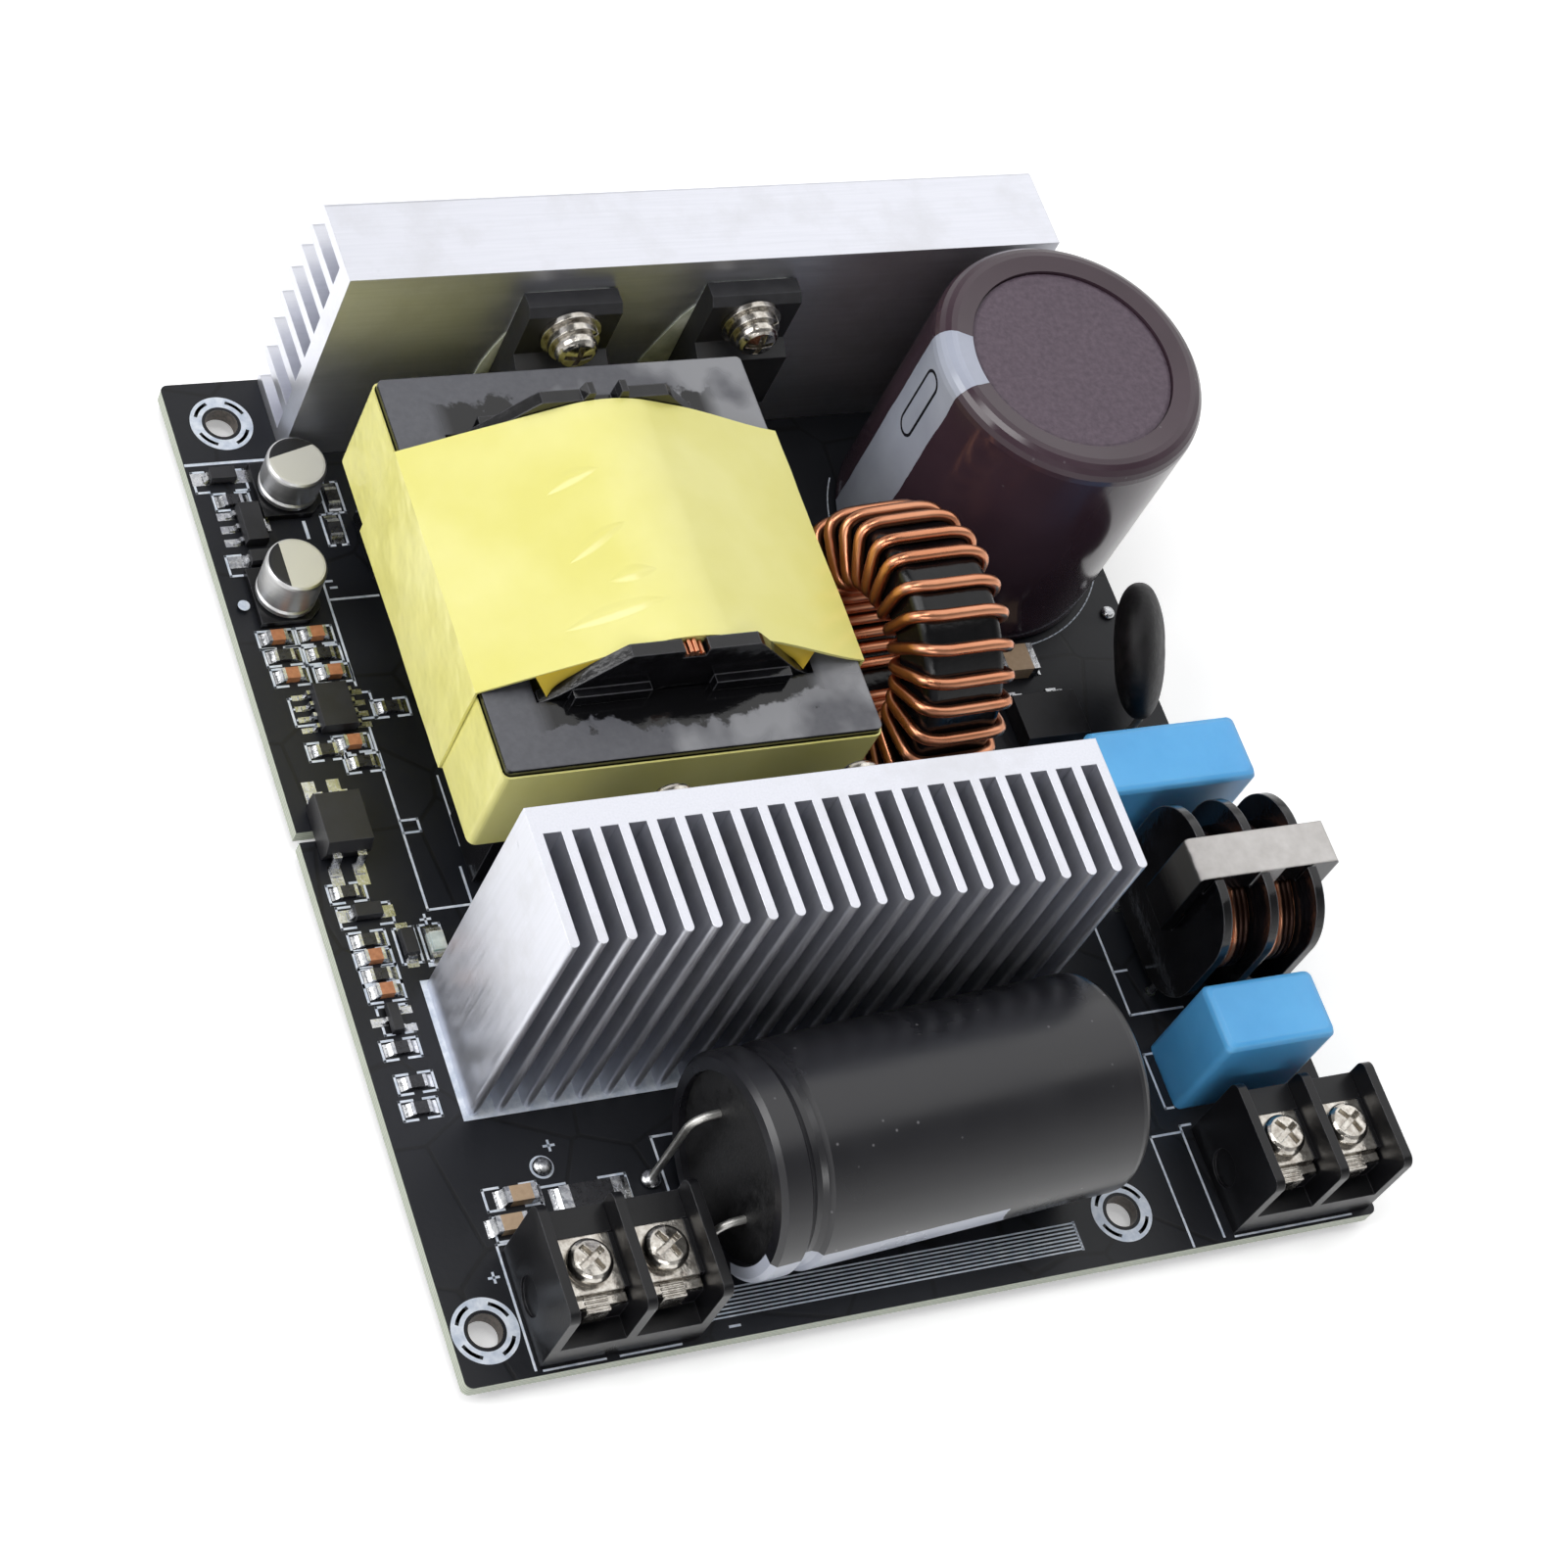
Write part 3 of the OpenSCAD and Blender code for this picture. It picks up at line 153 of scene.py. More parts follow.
def mottled(add, place, size_mm, detail, dark, light):
    """A noise of a given size, and the colour that it blends from two."""
    noise = add("TexNoise", {"Vector": place, "Scale": per_m(size_mm), "Detail": detail})
    return noise, add("Mix", {0: noise, A: dark, B: light}, data_type="RGBA")


def facing(add):
    """The way a surface faces, as outputs X, Y and Z."""
    return add("SeparateXYZ", [add("NewGeometry").outputs["Normal"]]).outputs


def turned_about(add, place, origin, turn):
    """Coordinates about a point and turned, as outputs X, Y and Z."""
    moved = add("Mapping", {"Vector": place, "Location": -origin})
    return add("SeparateXYZ", [add("Mapping", {"Vector": moved, "Rotation": turn})]).outputs


def finish_surface(
        name, light, dark, patch_mm, rough, grain_mm, grain_height_mm, edge_mm=0.0, edge_wear_and_highlight=None, **sockets):
    """A moulded, coated or plated surface: two-toned patches, uneven gloss, grain, soft edges, and paler
    edges: wear and painted highlight.
    """
    material, add, place = begin(name, **sockets)
    patches = add("TexNoise", {"Vector": place, "Scale": per_m(patch_mm), "Detail": 5.0, "Roughness": 0.62})
    tone = add("MapRange", [patches, 0.34, 0.66])
    colour = add("Mix", {0: tone, A: dark, B: light}, data_type="RGBA")
    grain = add("TexNoise", {"Vector": place, "Scale": per_m(grain_mm), "Detail": 3.0})
    gloss = add("MapRange", [patches, 0.3, 0.7, *rough])
    bump = add("Bump", {"Strength": 1.0, "Distance": grain_height_mm * MM, "Height": grain})
    if edge_mm:
        bevel = add("Bevel", {"Radius": edge_mm * MM}, samples=4)
        connect(material.node_tree, bump, {"Normal": bevel})
    if edge_wear_and_highlight:
        # Edges are where the softened normal leaves the face's own: there the colour turns paler in patches,
        # as wear and as a painted edge highlight
        face = add("NewGeometry").outputs["Normal"]
        match = add("VectorMath", [face, bevel], operation="DOT_PRODUCT")
        edge = add("MapRange", [match, 0.995, 0.9])
        rubbed_and_lit_edges = add("Math", [edge, patches], operation="MULTIPLY")
        colour = add("Mix", {0: rubbed_and_lit_edges, A: colour, B: edge_wear_and_highlight}, data_type="RGBA")
    return shade(material, base_color=colour, roughness=gloss, normal=bump)


# Black glass-reinforced nylon, moulded: fine grain, a soft sheen and greyer edges, partly worn and partly
# painted highlight
black_plastic = finish_surface(
    "black_moulded_nylon", "#121215", "#0a0a0d", 7, (0.26, 0.38), 0.25, 0.008, edge_mm=0.12, edge_wear_and_highlight="#5c5c62",
    specular_ior_level=0.4)
# Phenolic bobbin dipped in varnish: wet black gloss with slow ripples, and grey edges, partly worn and partly
# painted highlight
varnished_bobbin = finish_surface(
    "varnished_phenolic", "#131316", "#060608", 4, (0.08, 0.22), 1.1, 0.05, edge_mm=0.2, edge_wear_and_highlight="#7a7a80")
# Epoxy moulding compound: matte charcoal, sandy grain, and greyer edges, partly worn and partly painted
# highlight
epoxy_moulding = finish_surface(
    "epoxy_moulding", "#222226", "#151518", 2.5, (0.4, 0.55), 0.12, 0.006, edge_mm=0.12, edge_wear_and_highlight="#4a4a50")
# Epoxy dip over a ceramic disc: dull black with scuffs and dimples
epoxy_dip = finish_surface(
    "black_epoxy_dip", "#161417", "#09090a", 1.2, (0.45, 0.62), 0.5, 0.03, specular_ior_level=0.3)
# Fluidised-bed coat on an iron powder ring: black, slightly pebbled, wet-looking
toroid_coat = finish_surface(
    "black_powder_coat", "#101013", "#060608", 3, (0.08, 0.18), 0.6, 0.02, edge_mm=0.6,
    specular_ior_level=0.35)
# Rubber bung: dull black with fine dust
rubber = finish_surface("butyl_rubber", "#141416", "#08080a", 1.6, (0.45, 0.65), 0.3, 0.02)
# Silicone insulating pad and the white paste squeezed out from under it: pale grey, greasy sheen
silicone = finish_surface("silicone_paste", "#d8dacf", "#b4b9ab", 2, (0.35, 0.5), 0.5, 0.03)
# Flame-retardant polyester case: even sky blue with a satin face, and paler edges, partly worn and partly
# painted highlight
blue_case = finish_surface(
    "blue_polyester_case", "#5cb2ec", "#50a7e4", 9, (0.32, 0.42), 0.2, 0.006, edge_mm=0.4, edge_wear_and_highlight="#8cc6f2",
    subsurface_weight=0.05)
# Tinned wire: duller than solder, so that it catches light from every side
tinned_wire = finish_surface("tinned_wire", "#e2e1dc", "#bdbcb8", 3, (0.4, 0.52), 0.3, 0.01, metallic=1.0)
# Bare wall of a drilled hole: brown glass epoxy, dull
hole_wall = finish_surface("drilled_glass_epoxy", "#6a625b", "#3a3531", 0.6, (0.4, 0.6), 0.25, 0.02)
# Tinned copper and reflowed solder: soft silver with shallow puddles
tin = finish_surface("tinned_copper", "#d9dadc", "#a9abaf", 0.7, (0.16, 0.34), 0.35, 0.03, metallic=1.0)
# Nickel-plated steel: bright, slightly warm, with tool marks and handling dirt
nickel = finish_surface(
    "nickel_plate", "#e0dcd4", "#a8a198", 0.9, (0.1, 0.24), 0.5, 0.02, edge_mm=0.15, metallic=1.0)
# Glazed chip resistor: near-black enamel
resistor_glaze = finish_surface("resistor_glaze", "#2a2a2e", "#161619", 0.6, (0.22, 0.36), 0.15, 0.004)
# Water-clear epoxy over a white lamp body
lamp_lens = finish_surface(
    "lamp_epoxy", "#e4e6df", "#c4c7bf", 0.8, (0.1, 0.2), 0.3, 0.006, subsurface_weight=0.2)
# Legend ink, screen printed: flat bluish white with slightly starved patches
ink = finish_surface("white_legend_ink", "#dfe5ee", "#b7c2d2", 1.1, (0.45, 0.6), 0.1, 0.004)
# Plastic disc glued in the capacitor's top: dusty plum with pores
plum_disc = finish_surface("plum_disc", "#5d4f5b", "#483a47", 0.6, (0.48, 0.62), 0.2, 0.015)


def tan_ceramic_material():
    """Ceramic chip capacitors: fired tan, the large ones paler than the small."""
    material, add, place = begin("tan_ceramic")
    split = add("SeparateXYZ", [place]).outputs
    speck, small = mottled(add, place, 0.5, 4.0, "#8d5634", "#c98a62")
    large = add("Mix", {0: speck, A: "#a98e72", B: "#c6ab8d"}, data_type="RGBA")
    front = add("Math", [split["Y"], on_board(0, 22).y], operation="LESS_THAN")
    right = add("Math", [split["X"], on_board(60, 0).x], operation="GREATER_THAN")
    which = add("Math", [front, right], operation="MAXIMUM")
    colour = add("Mix", {0: which, A: small, B: large}, data_type="RGBA")
    gloss = add("MapRange", [speck, 0, 1, 0.3, 0.5])
    bump = add("Bump", {"Distance": 0.01 * MM, "Height": speck})
    return shade(material, base_color=colour, roughness=gloss, normal=bump)


def solder_mask_material():
    """Black solder mask on glass epoxy: blue-black gloss over buried copper, pale resin where it is cut."""
    material, add, place = begin("solder_mask_on_glass_epoxy", specular_ior_level=0.35)
    clouds = add("TexNoise", {"Vector": place, "Scale": per_m(14), "Detail": 4.0, "Roughness": 0.6})
    mask = add("Mix", {0: clouds, A: "#0d0f14", B: "#191b22"}, data_type="RGBA")
    # Copper pours lie under the mask in blocks about 11 mm across
    pours = add("TexVoronoi", {"Vector": place, "Scale": per_m(11), "Randomness": 0.8},
                feature="DISTANCE_TO_EDGE")
    channel = add("MapRange", [pours, 0.01, 0.025])
    poured = add("Mix", {0: channel, A: "#0a0b0f", B: mask}, data_type="RGBA")
    # Glass cloth shows as fine layers on the sawn edge
    layers = add("TexWave", {"Vector": place, "Scale": per_m(1.2), "Distortion": 1.5, "Detail": 2.0},
                 bands_direction="Z")
    resin = add("Mix", {0: layers.outputs["Fac"], A: "#8f998a", B: "#c9cdbd"}, data_type="RGBA")
    upright = add("Math", [facing(add)["Z"]], operation="ABSOLUTE")
    cut = add("Math", [upright, 0.5], operation="LESS_THAN")
    colour = add("Mix", {0: cut, A: poured, B: resin}, data_type="RGBA")
    gloss = add("MapRange", [clouds, 0.3, 0.7, 0.34, 0.5])
    orange = add("TexNoise", {"Vector": place, "Scale": per_m(0.5), "Detail": 2.0})
    relief = add("Math", [channel, orange], operation="ADD")
    bump = add("Bump", {"Strength": 1.0, "Distance": 0.012 * MM, "Height": relief})
    return shade(material, base_color=colour, roughness=gloss, normal=bump)


def aluminium_material(name, draw, scratches_mm):
    """Extruded aluminium: die lines along the draw, saw marks across the cut ends, a few dents and stains."""
    material, add, place = begin(name, metallic=0.89)
    along = [0.04 if axis == draw else 1.0 for axis in "XYZ"]
    stretched = add("Mapping", {"Vector": place, "Scale": along})
    lines = add("TexNoise", {"Vector": stretched, "Scale": per_m(0.35), "Detail": 2.0})
    sawn = add("TexNoise", {"Vector": place, "Scale": per_m(0.22), "Detail": 3.0})
    end_on = add("Math", [facing(add)[draw]], operation="ABSOLUTE")
    end = add("Math", [end_on, 0.7], operation="GREATER_THAN")
    texture = add("Mix", {0: end, 2: lines, 3: sawn})
    stains = add(
        "TexNoise", {"Vector": place, "Scale": per_m(scratches_mm), "Detail": 6.0, "Roughness": 0.65})
    stain = add("MapRange", [stains, 0.3, 0.5])
    bright = add("Mix", {0: texture, A: "#d3d5dd", B: "#e6e7ef"}, data_type="RGBA")
    colour = add("Mix", {0: stain, A: "#d3d4da", B: bright}, data_type="RGBA")
    rough = add("MapRange", [texture, 0.3, 0.7, 0.28, 0.4])
    dent = add("TexVoronoi", {"Vector": place, "Scale": per_m(7), "Randomness": 1.0})
    pit = add("MapRange", [dent, 0.02, 0.06])
    bevel = add("Bevel", {"Radius": 0.1 * MM}, samples=4)
    pits = add("Bump", {"Strength": 0.5, "Distance": 0.05 * MM, "Height": pit, "Normal": bevel})
    bump = add("Bump", {"Strength": 0.3, "Distance": 0.005 * MM, "Height": texture, "Normal": pits})
    return shade(material, base_color=colour, roughness=rough, normal=bump)


# Puckers in the tape: crescent-shaped ridges between two points, and their bow, in mm from the coil's middle
puckers = [
    ((-8.6, 4.7, 10.8), (-3.2, 6.1, 12.6), 0.55), ((-8.7, -3.2, 10.8), (-2.6, -0.3, 12.7), 0.3),
    ((-5.9, -6.2, 11.8), (-1.2, -6.0, 13.0), 0.2), ((-11.2, -10.1, 9.9), (-0.8, -9.4, 13.0), 0.35)]


def tape_material(name, dark, light):
    """Polyester film tape: glossy, puckered in a few crescents on top, rumpled on its left side."""
    material, add, place = begin(
        name, subsurface_weight=0.08, subsurface_radius=(MM, MM, 0.4 * MM), ior=1.5)
    clouds = add("TexNoise", {"Vector": place, "Scale": per_m(16), "Detail": 4.0})
    tone = add("MapRange", [clouds, 0.35, 0.65])
    colour = add("Mix", {0: tone, A: dark, B: light}, data_type="RGBA")
    left = add("MapRange", [facing(add)["X"], -0.6, -0.9, 0.1, 2.6])
    ripple = add("TexNoise", {"Vector": place, "Scale": per_m(3.5), "Detail": 2.0})
    height = add("Math", [ripple, left], operation="MULTIPLY")
    for a, b, bow in puckers:
        along = Vector(b) - Vector(a)
        across = along.cross((0.33, 0, -0.94)).normalized()
        off = add("VectorMath", [place, on_board(*transformer) + Vector(a) * MM], operation="SUBTRACT")
        part = add("VectorMath", [off, along / along.length_squared / MM], operation="DOT_PRODUCT")
        beside = add("VectorMath", [off, across / MM], operation="DOT_PRODUCT")
        rest = add("Math", [1.0, part], operation="SUBTRACT")
        rise = add("Math", [part, rest], operation="MULTIPLY")
        swell = add("MapRange", [rise, 0.0, 0.25, 0.01])
        bowed = add("Math", [swell, -bow, beside], operation="MULTIPLY_ADD")
        spread = add("Math", [bowed, swell], operation="DIVIDE")
        far = add("Math", [spread], operation="ABSOLUTE")
        fold = add("MapRange", [far, 1.0, 0.0, 0, 1.8], interpolation_type="SMOOTHSTEP")
        ridge = add("Math", [fold, swell], operation="MULTIPLY")
        height = add("Math", [height, ridge], operation="ADD")
    bump = add("Bump", {"Strength": 1.0, "Distance": 0.1 * MM, "Height": height})
    gloss = add("MapRange", [clouds, 0, 1, 0.14, 0.28])
    return shade(material, base_color=colour, roughness=gloss, normal=bump)


def choke_ferrite_material():
    """Ground ferrite: warm pale grey on the bare top, black varnish run over the other sides."""
    material, add, place = begin("half_varnished_ferrite")
    speck, bare = mottled(add, place, 1.2, 5.0, "#b2aeab", "#d8d5d3")
    bevel = add("Bevel", {"Radius": 0.35 * MM}, samples=4)
    normal = add("SeparateXYZ", [bevel])
    ragged = add("TexNoise", {"Vector": place, "Scale": per_m(1.5), "Detail": 3.0})
    lean = add("MapRange", [ragged, 0, 1, -0.25, 0.25])
    tilt = add("Math", [normal.outputs["Z"], lean], operation="ADD")
    top = add("MapRange", [tilt, 0.42, 0.56])
    split = add("SeparateXYZ", [place]).outputs
    high = add("Math", [split["Z"], on_board(0, 0, 16).z], operation="GREATER_THAN")
    # A bare patch about 3 mm wide in the middle of the front
    spot = add("Math", [split["X"], on_board(choke[0] + 0.2, 0).x, 1.5 * MM], operation="COMPARE")
    either = add("Math", [top, spot], operation="MAXIMUM")
    clear = add("Math", [either, high], operation="MULTIPLY")
    # On the left leg the black coat turns dark grey towards the top
    leg = add("MapRange", [split["Z"], on_board(0, 0, 12.5).z, on_board(0, 0, 16).z])
    left = add("Math", [normal.outputs["X"], -0.6], operation="LESS_THAN")
    paler_up_left_leg = add("Math", [leg, left], operation="MULTIPLY")
    coat = add("Mix", {0: paler_up_left_leg, A: "#111113", B: "#504f4d"}, data_type="RGBA")
    colour = add("Mix", {0: clear, A: coat, B: bare}, data_type="RGBA")
    gloss = add("MapRange", [clear, 0, 1, 0.14, 0.4])
    bump = add("Bump", {"Strength": 0.6, "Distance": 0.015 * MM, "Height": speck, "Normal": bevel})
    return shade(material, base_color=colour, roughness=gloss, normal=bump)


def ferrite_material():
    """Pressed ferrite: even slate grey, with black varnish that ran from the bobbin and dried in patches."""
    material, add, place = begin("varnished_ferrite")
    speck, slate = mottled(add, place, 0.6, 5.0, "#4a4b51", "#606167")
    centre = on_board(*transformer)
    local = add("Mapping", {"Vector": place, "Location": -centre})
    split = add("SeparateXYZ", [local]).outputs
    distance = add("Math", [split["Y"]], operation="ABSOLUTE")
    ragged = add("TexNoise", {"Vector": place, "Scale": per_m(4.5), "Detail": 4.0, "Roughness": 0.6})
    wave = add("MapRange", [ragged, 0.3, 0.7, -1.8 * MM, 1.8 * MM])
    reach = add("Math", [distance, wave], operation="ADD")
    # Varnish stops about 18.6 mm from the middle of the core, whose ends are 22.4 mm away
    wet = add("MapRange", [reach, 18.9 * MM, 18.4 * MM])
    side = add("Math", [split["X"]], operation="ABSOLUTE")
    inside = add("MapRange", [side, 15.5 * MM, 13.5 * MM])
    run = add("Math", [wet, inside], operation="MULTIPLY")
    rim = add("Math", [facing(add)["Z"], 0.5], operation="LESS_THAN")
    varnish = add("Math", [run, rim], operation="MAXIMUM")
    hazy = add("TexNoise", {"Vector": place, "Scale": per_m(9), "Detail": 3.0})
    right = add("Math", [split["X"], 9.0, hazy], operation="MULTIPLY_ADD")
    haze = add("MapRange", [right, 0.56, 0.7])
    misty = add("Mix", {0: haze, A: slate, B: "#86878b"}, data_type="RGBA")
    colour = add("Mix", {0: varnish, A: misty, B: "#0c0c0e"}, data_type="RGBA")
    dry = add("MapRange", [haze, 0, 1, 0.42, 0.2])
    gloss = add("Mix", {0: varnish, 2: dry, 3: 0.1})
    bevel = add("Bevel", {"Radius": 0.25 * MM}, samples=4)
    bump = add("Bump", {"Strength": 0.6, "Distance": 0.02 * MM, "Height": speck, "Normal": bevel})
    return shade(material, base_color=colour, roughness=gloss, normal=bump)


def copper_material(name, varnished=False):
    """Enamelled copper wire: warm metal under a clear amber coat, dark where varnish covers it."""
    material, add, place = begin(name, metallic=0.75 if varnished else 1.0)
    drift, colour = mottled(add, place, 6, 3.0, "#bd7049", "#eaae8c")
    if varnished:
        # The varnish lies on the right of each of the two rooms, which are 5.55 mm apart
        side = add("SeparateXYZ", [place]).outputs["X"]
        ragged = add("Math", [drift, 1.5 * MM, side], operation="MULTIPLY_ADD")
        moved = add("Math", [ragged, on_board(choke[0] - 6.25, 0).x], operation="SUBTRACT")
        rooms = add("Math", [moved, 5.55 * MM], operation="DIVIDE")
        room = add("Math", [rooms], operation="FRACT")
        coat = add("MapRange", [room, 0.66, 0.74])
        colour = add("Mix", {0: coat, A: colour, B: "#2a160e"}, data_type="RGBA")
    fine = add("TexNoise", {"Vector": place, "Scale": per_m(0.4), "Detail": 2.0})
    gloss = add("MapRange", [drift, 0, 1, 0.2, 0.38])
    bump = add("Bump", {"Strength": 0.4, "Distance": 0.01 * MM, "Height": fine})
    return shade(material, base_color=colour, roughness=gloss, normal=bump)


def sleeve_material(
        name, origin, turn, dark, light, stripe, stripe_colour, reach, rough, shine, dusty, mark=None):
    """Shrink sleeve with a printed stripe: origin on the axis, turn puts the axis on Z, stripe as angles."""
    material, add, place = begin(name, specular_ior_level=shine)
    local = turned_about(add, place, origin, turn)
    angle = add("Math", [local["Y"], local["X"]], operation="ARCTAN2")
    middle, half = (math.radians(v) for v in stripe)
    away = add("Math", [angle, middle], operation="SUBTRACT")
    turned = add("Math", [away, math.pi, -math.pi], operation="WRAP")
    off = add("Math", [turned], operation="ABSOLUTE")
    flat = add("CombineXYZ", {"X": local["X"], "Y": local["Y"]})
    radius = add("VectorMath", [flat], operation="LENGTH")
    tear = add("TexNoise", {"Vector": place, "Scale": per_m(3), "Detail": 3.0})
    edge = add("MapRange", [tear, 0, 1, -0.015, 0.015])
    torn = add("Math", [off, edge], operation="ADD")
    within = add("Math", [torn, half], operation="LESS_THAN")
    outer = add("Math", [radius, reach * MM], operation="GREATER_THAN")
    inked = add("Math", [within, outer], operation="MULTIPLY")
    clouds, base = mottled(add, place, 8, 4.0, dark, light)
    pale = add("Mix", {0: clouds, A: stripe_colour[0], B: stripe_colour[1]}, data_type="RGBA")
    colour = add("Mix", {0: inked, A: base, B: pale}, data_type="RGBA")
    if mark:
        # A rounded minus sign drawn as an outline: distance from a short upright line segment
        low, high, half_w, ink_w, mark_r = (v * MM for v in mark)
        across = add("Math", [off, mark_r], operation="MULTIPLY")
        clamp = add("Clamp", {"Value": local["Z"], "Min": low + half_w, "Max": high - half_w})
        beyond = add("Math", [local["Z"], clamp], operation="SUBTRACT")
        gap = add("CombineXYZ", {"X": across, "Y": beyond})
        far = add("VectorMath", [gap], operation="LENGTH")
        line = add("Math", [far, half_w, ink_w / 2], operation="COMPARE")
        colour = add("Mix", {0: line, A: colour, B: "#1c1c22"}, data_type="RGBA")
    gloss = add("MapRange", [clouds, 0.3, 0.7, *rough])
    dust = add("TexVoronoi", {"Vector": place, "Scale": per_m(2.6), "Randomness": 1.0})
    fleck = add("MapRange", [dust, 0.02, 0.07])
    speck = add("MapRange", [fleck, 0, 1, dusty, 0.0])
    colour = add("Mix", {0: speck, A: colour, B: "#b5b3b8"}, data_type="RGBA")
    wrinkle = add("TexNoise", {"Vector": place, "Scale": per_m(1.6), "Detail": 3.0})
    height = add("Math", [wrinkle, fleck], operation="ADD")
    bump = add("Bump", {"Strength": 0.3, "Distance": 0.01 * MM, "Height": height})
    return shade(material, base_color=colour, roughness=gloss, normal=bump)


def can_material(name, centre, turn):
    """Drawn aluminium can: satin side with fine rings, and a black printed segment on its top."""
    material, add, place = begin(name)
    local = turned_about(add, place, centre, (0.0, 0.0, turn))
    top = add("Math", [facing(add)["Z"], 0.8], operation="GREATER_THAN")
    segment = add("Math", [local["X"], -1.3 * MM], operation="LESS_THAN")
    inked = add("Math", [top, segment], operation="MULTIPLY")
    flattened = add("Mapping", {"Vector": place, "Scale": (0.1, 0.1, 1.0)})
    rings, metal = mottled(add, flattened, 0.25, 3.0, "#b4b4b6", "#d4d4d4")
    lacquer = add("Mix", {0: top, A: metal, B: "#c6c5bd"}, data_type="RGBA")
    colour = add("Mix", {0: inked, A: lacquer, B: "#17171a"}, data_type="RGBA")
    metallic = add("MapRange", [top, 0, 1, 1.0, 0.0])
    gloss = add("MapRange", [rings, 0, 1, 0.34, 0.5])
    bump = add("Bump", {"Strength": 0.5, "Distance": 0.01 * MM, "Height": rings})
    return shade(material, base_color=colour, metallic=metallic, roughness=gloss, normal=bump)


solder_mask = solder_mask_material()
rear_aluminium = aluminium_material("extruded_aluminium_rear", "X", 9)
front_aluminium = aluminium_material("extruded_aluminium_front", "Z", 7)
# Outer turns are pale lemon, and the inner ones that show below them deep yellow
tape = tape_material("yellow_polyester_tape", "#e8e286", "#f0eb9c")
inner_tape = tape_material("inner_polyester_tape", "#c8a42a", "#ead95c")
ferrite = ferrite_material()
choke_ferrite = choke_ferrite_material()
copper = copper_material("enamelled_copper")
coil_copper = copper_material("varnished_copper", True)
tan_ceramic = tan_ceramic_material()
front_can_metal = can_material("aluminium_can_front", on_board(*front_can), 0.0)
rear_can_metal = can_material("aluminium_can_rear", on_board(*rear_can), math.radians(75))
plum_sleeve = sleeve_material(
    "plum_shrink_sleeve", on_board(*bulk), (0.0, 0.0, 0.0), "#34252d", "#473640", stripe=(177, 15),
    stripe_colour=("#8f94a4", "#b9bece"), reach=9.8, rough=(0.12, 0.22), shine=0.5, dusty=0.12,
    mark=(18.8, 28.3, 1.25, 0.35, 15.0))
black_sleeve = sleeve_material(
    "black_shrink_sleeve", on_board(*out_end), (0.0, -math.pi / 2, 0.0), "#131317", "#1e1e23",
    stripe=(-71, 24), stripe_colour=("#a9aebd", "#c3c8d5"), reach=9.3, rough=(0.26, 0.36), shine=0.65,
    dusty=0.3)

looks = {"board": solder_mask, "ferrite": ferrite, "tape": tape, "black_plastic": black_plastic,
         "winding_tape": tape, "copper": copper, "plum_sleeve": plum_sleeve, "plum_disc": plum_disc,
         "black_sleeve": black_sleeve, "bung": rubber, "blue_case": blue_case,
         "pale_ferrite": choke_ferrite, "toroid_coat": toroid_coat, "tin": tin, "nickel": nickel,
         "pad": silicone, "moulding": epoxy_moulding, "dark_coat": epoxy_dip, "resistor": resistor_glaze,
         "tan_ceramic": tan_ceramic, "lamp": lamp_lens}
own_looks = {"rear_heatsink": rear_aluminium, "front_heatsink": front_aluminium,
             "transformer_bobbin": varnished_bobbin, "choke_bobbin": varnished_bobbin,
             "output_capacitor_leads": tinned_wire, "thermistor_leads": tinned_wire,
             "front_can_capacitor": front_can_metal, "rear_can_capacitor": rear_can_metal}
for part in frame["record"]["subparts"]:
    name = part["node"]
    cad = frame["nodes"][name]
    cad.data.materials.clear()
    cad.data.materials.append(own_looks.get(name) or looks[part["material_slot"]])


# Modelling helpers

def deselect():
    if bpy.context.mode != "OBJECT":
        bpy.ops.object.mode_set(mode="OBJECT")
    bpy.ops.object.select_all(action="DESELECT")


def choose(piece):
    """Makes a piece the only one selected."""
    deselect()
    piece.select_set(True)
    bpy.context.view_layer.objects.active = piece


def placed(name, data):
    """A new object in the scene."""
    thing = bpy.data.objects.new(name, data)
    bpy.context.scene.collection.objects.link(thing)
    return thing


def edit_all():
    """Opens the active mesh for editing, with all of it selected."""
    bpy.ops.object.mode_set(mode="EDIT")
    bpy.ops.mesh.select_all(action="SELECT")


def shaded(degrees=40):
    """Ends any editing and smooths the active mesh across edges up to an angle."""
    bpy.ops.object.mode_set(mode="OBJECT")
    bpy.ops.object.shade_smooth_by_angle(angle=math.radians(degrees))
    return bpy.context.object


def keep(piece, name, material, slot, *nodes):
    """Names a finished piece, sets its place in its mesh and ties it to the object."""
    choose(piece)
    bpy.ops.object.transform_apply()
    piece.name = name
    piece.data.name = name
    piece.data.materials.clear()
    piece.data.materials.append(material)
    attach(piece, "root")
    if nodes:
        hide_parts(*nodes)


def pick(piece, kind, test):
    """In edit mode, selects only the faces or edges that pass a test."""
    bpy.ops.mesh.select_mode(type=kind)
    bpy.ops.mesh.select_all(action="DESELECT")
    bpy.ops.object.mode_set(mode="OBJECT")
    for item in piece.data.polygons if kind == "FACE" else piece.data.edges:
        item.select = test(item)
    bpy.ops.object.mode_set(mode="EDIT")


def extrude_all(x, y, z):
    """Draws out the whole mesh being edited, in mm, and turns its faces outwards."""
    bpy.ops.mesh.select_all(action="SELECT")
    bpy.ops.mesh.extrude_region_move(TRANSFORM_OT_translate={"value": (x * MM, y * MM, z * MM)})
    bpy.ops.mesh.select_all(action="SELECT")
    bpy.ops.mesh.normals_make_consistent(inside=False)


def joined(pieces):
    deselect()
    for piece in pieces:
        piece.select_set(True)
    bpy.context.view_layer.objects.active = pieces[0]
    bpy.ops.object.join()
    return pieces[0]


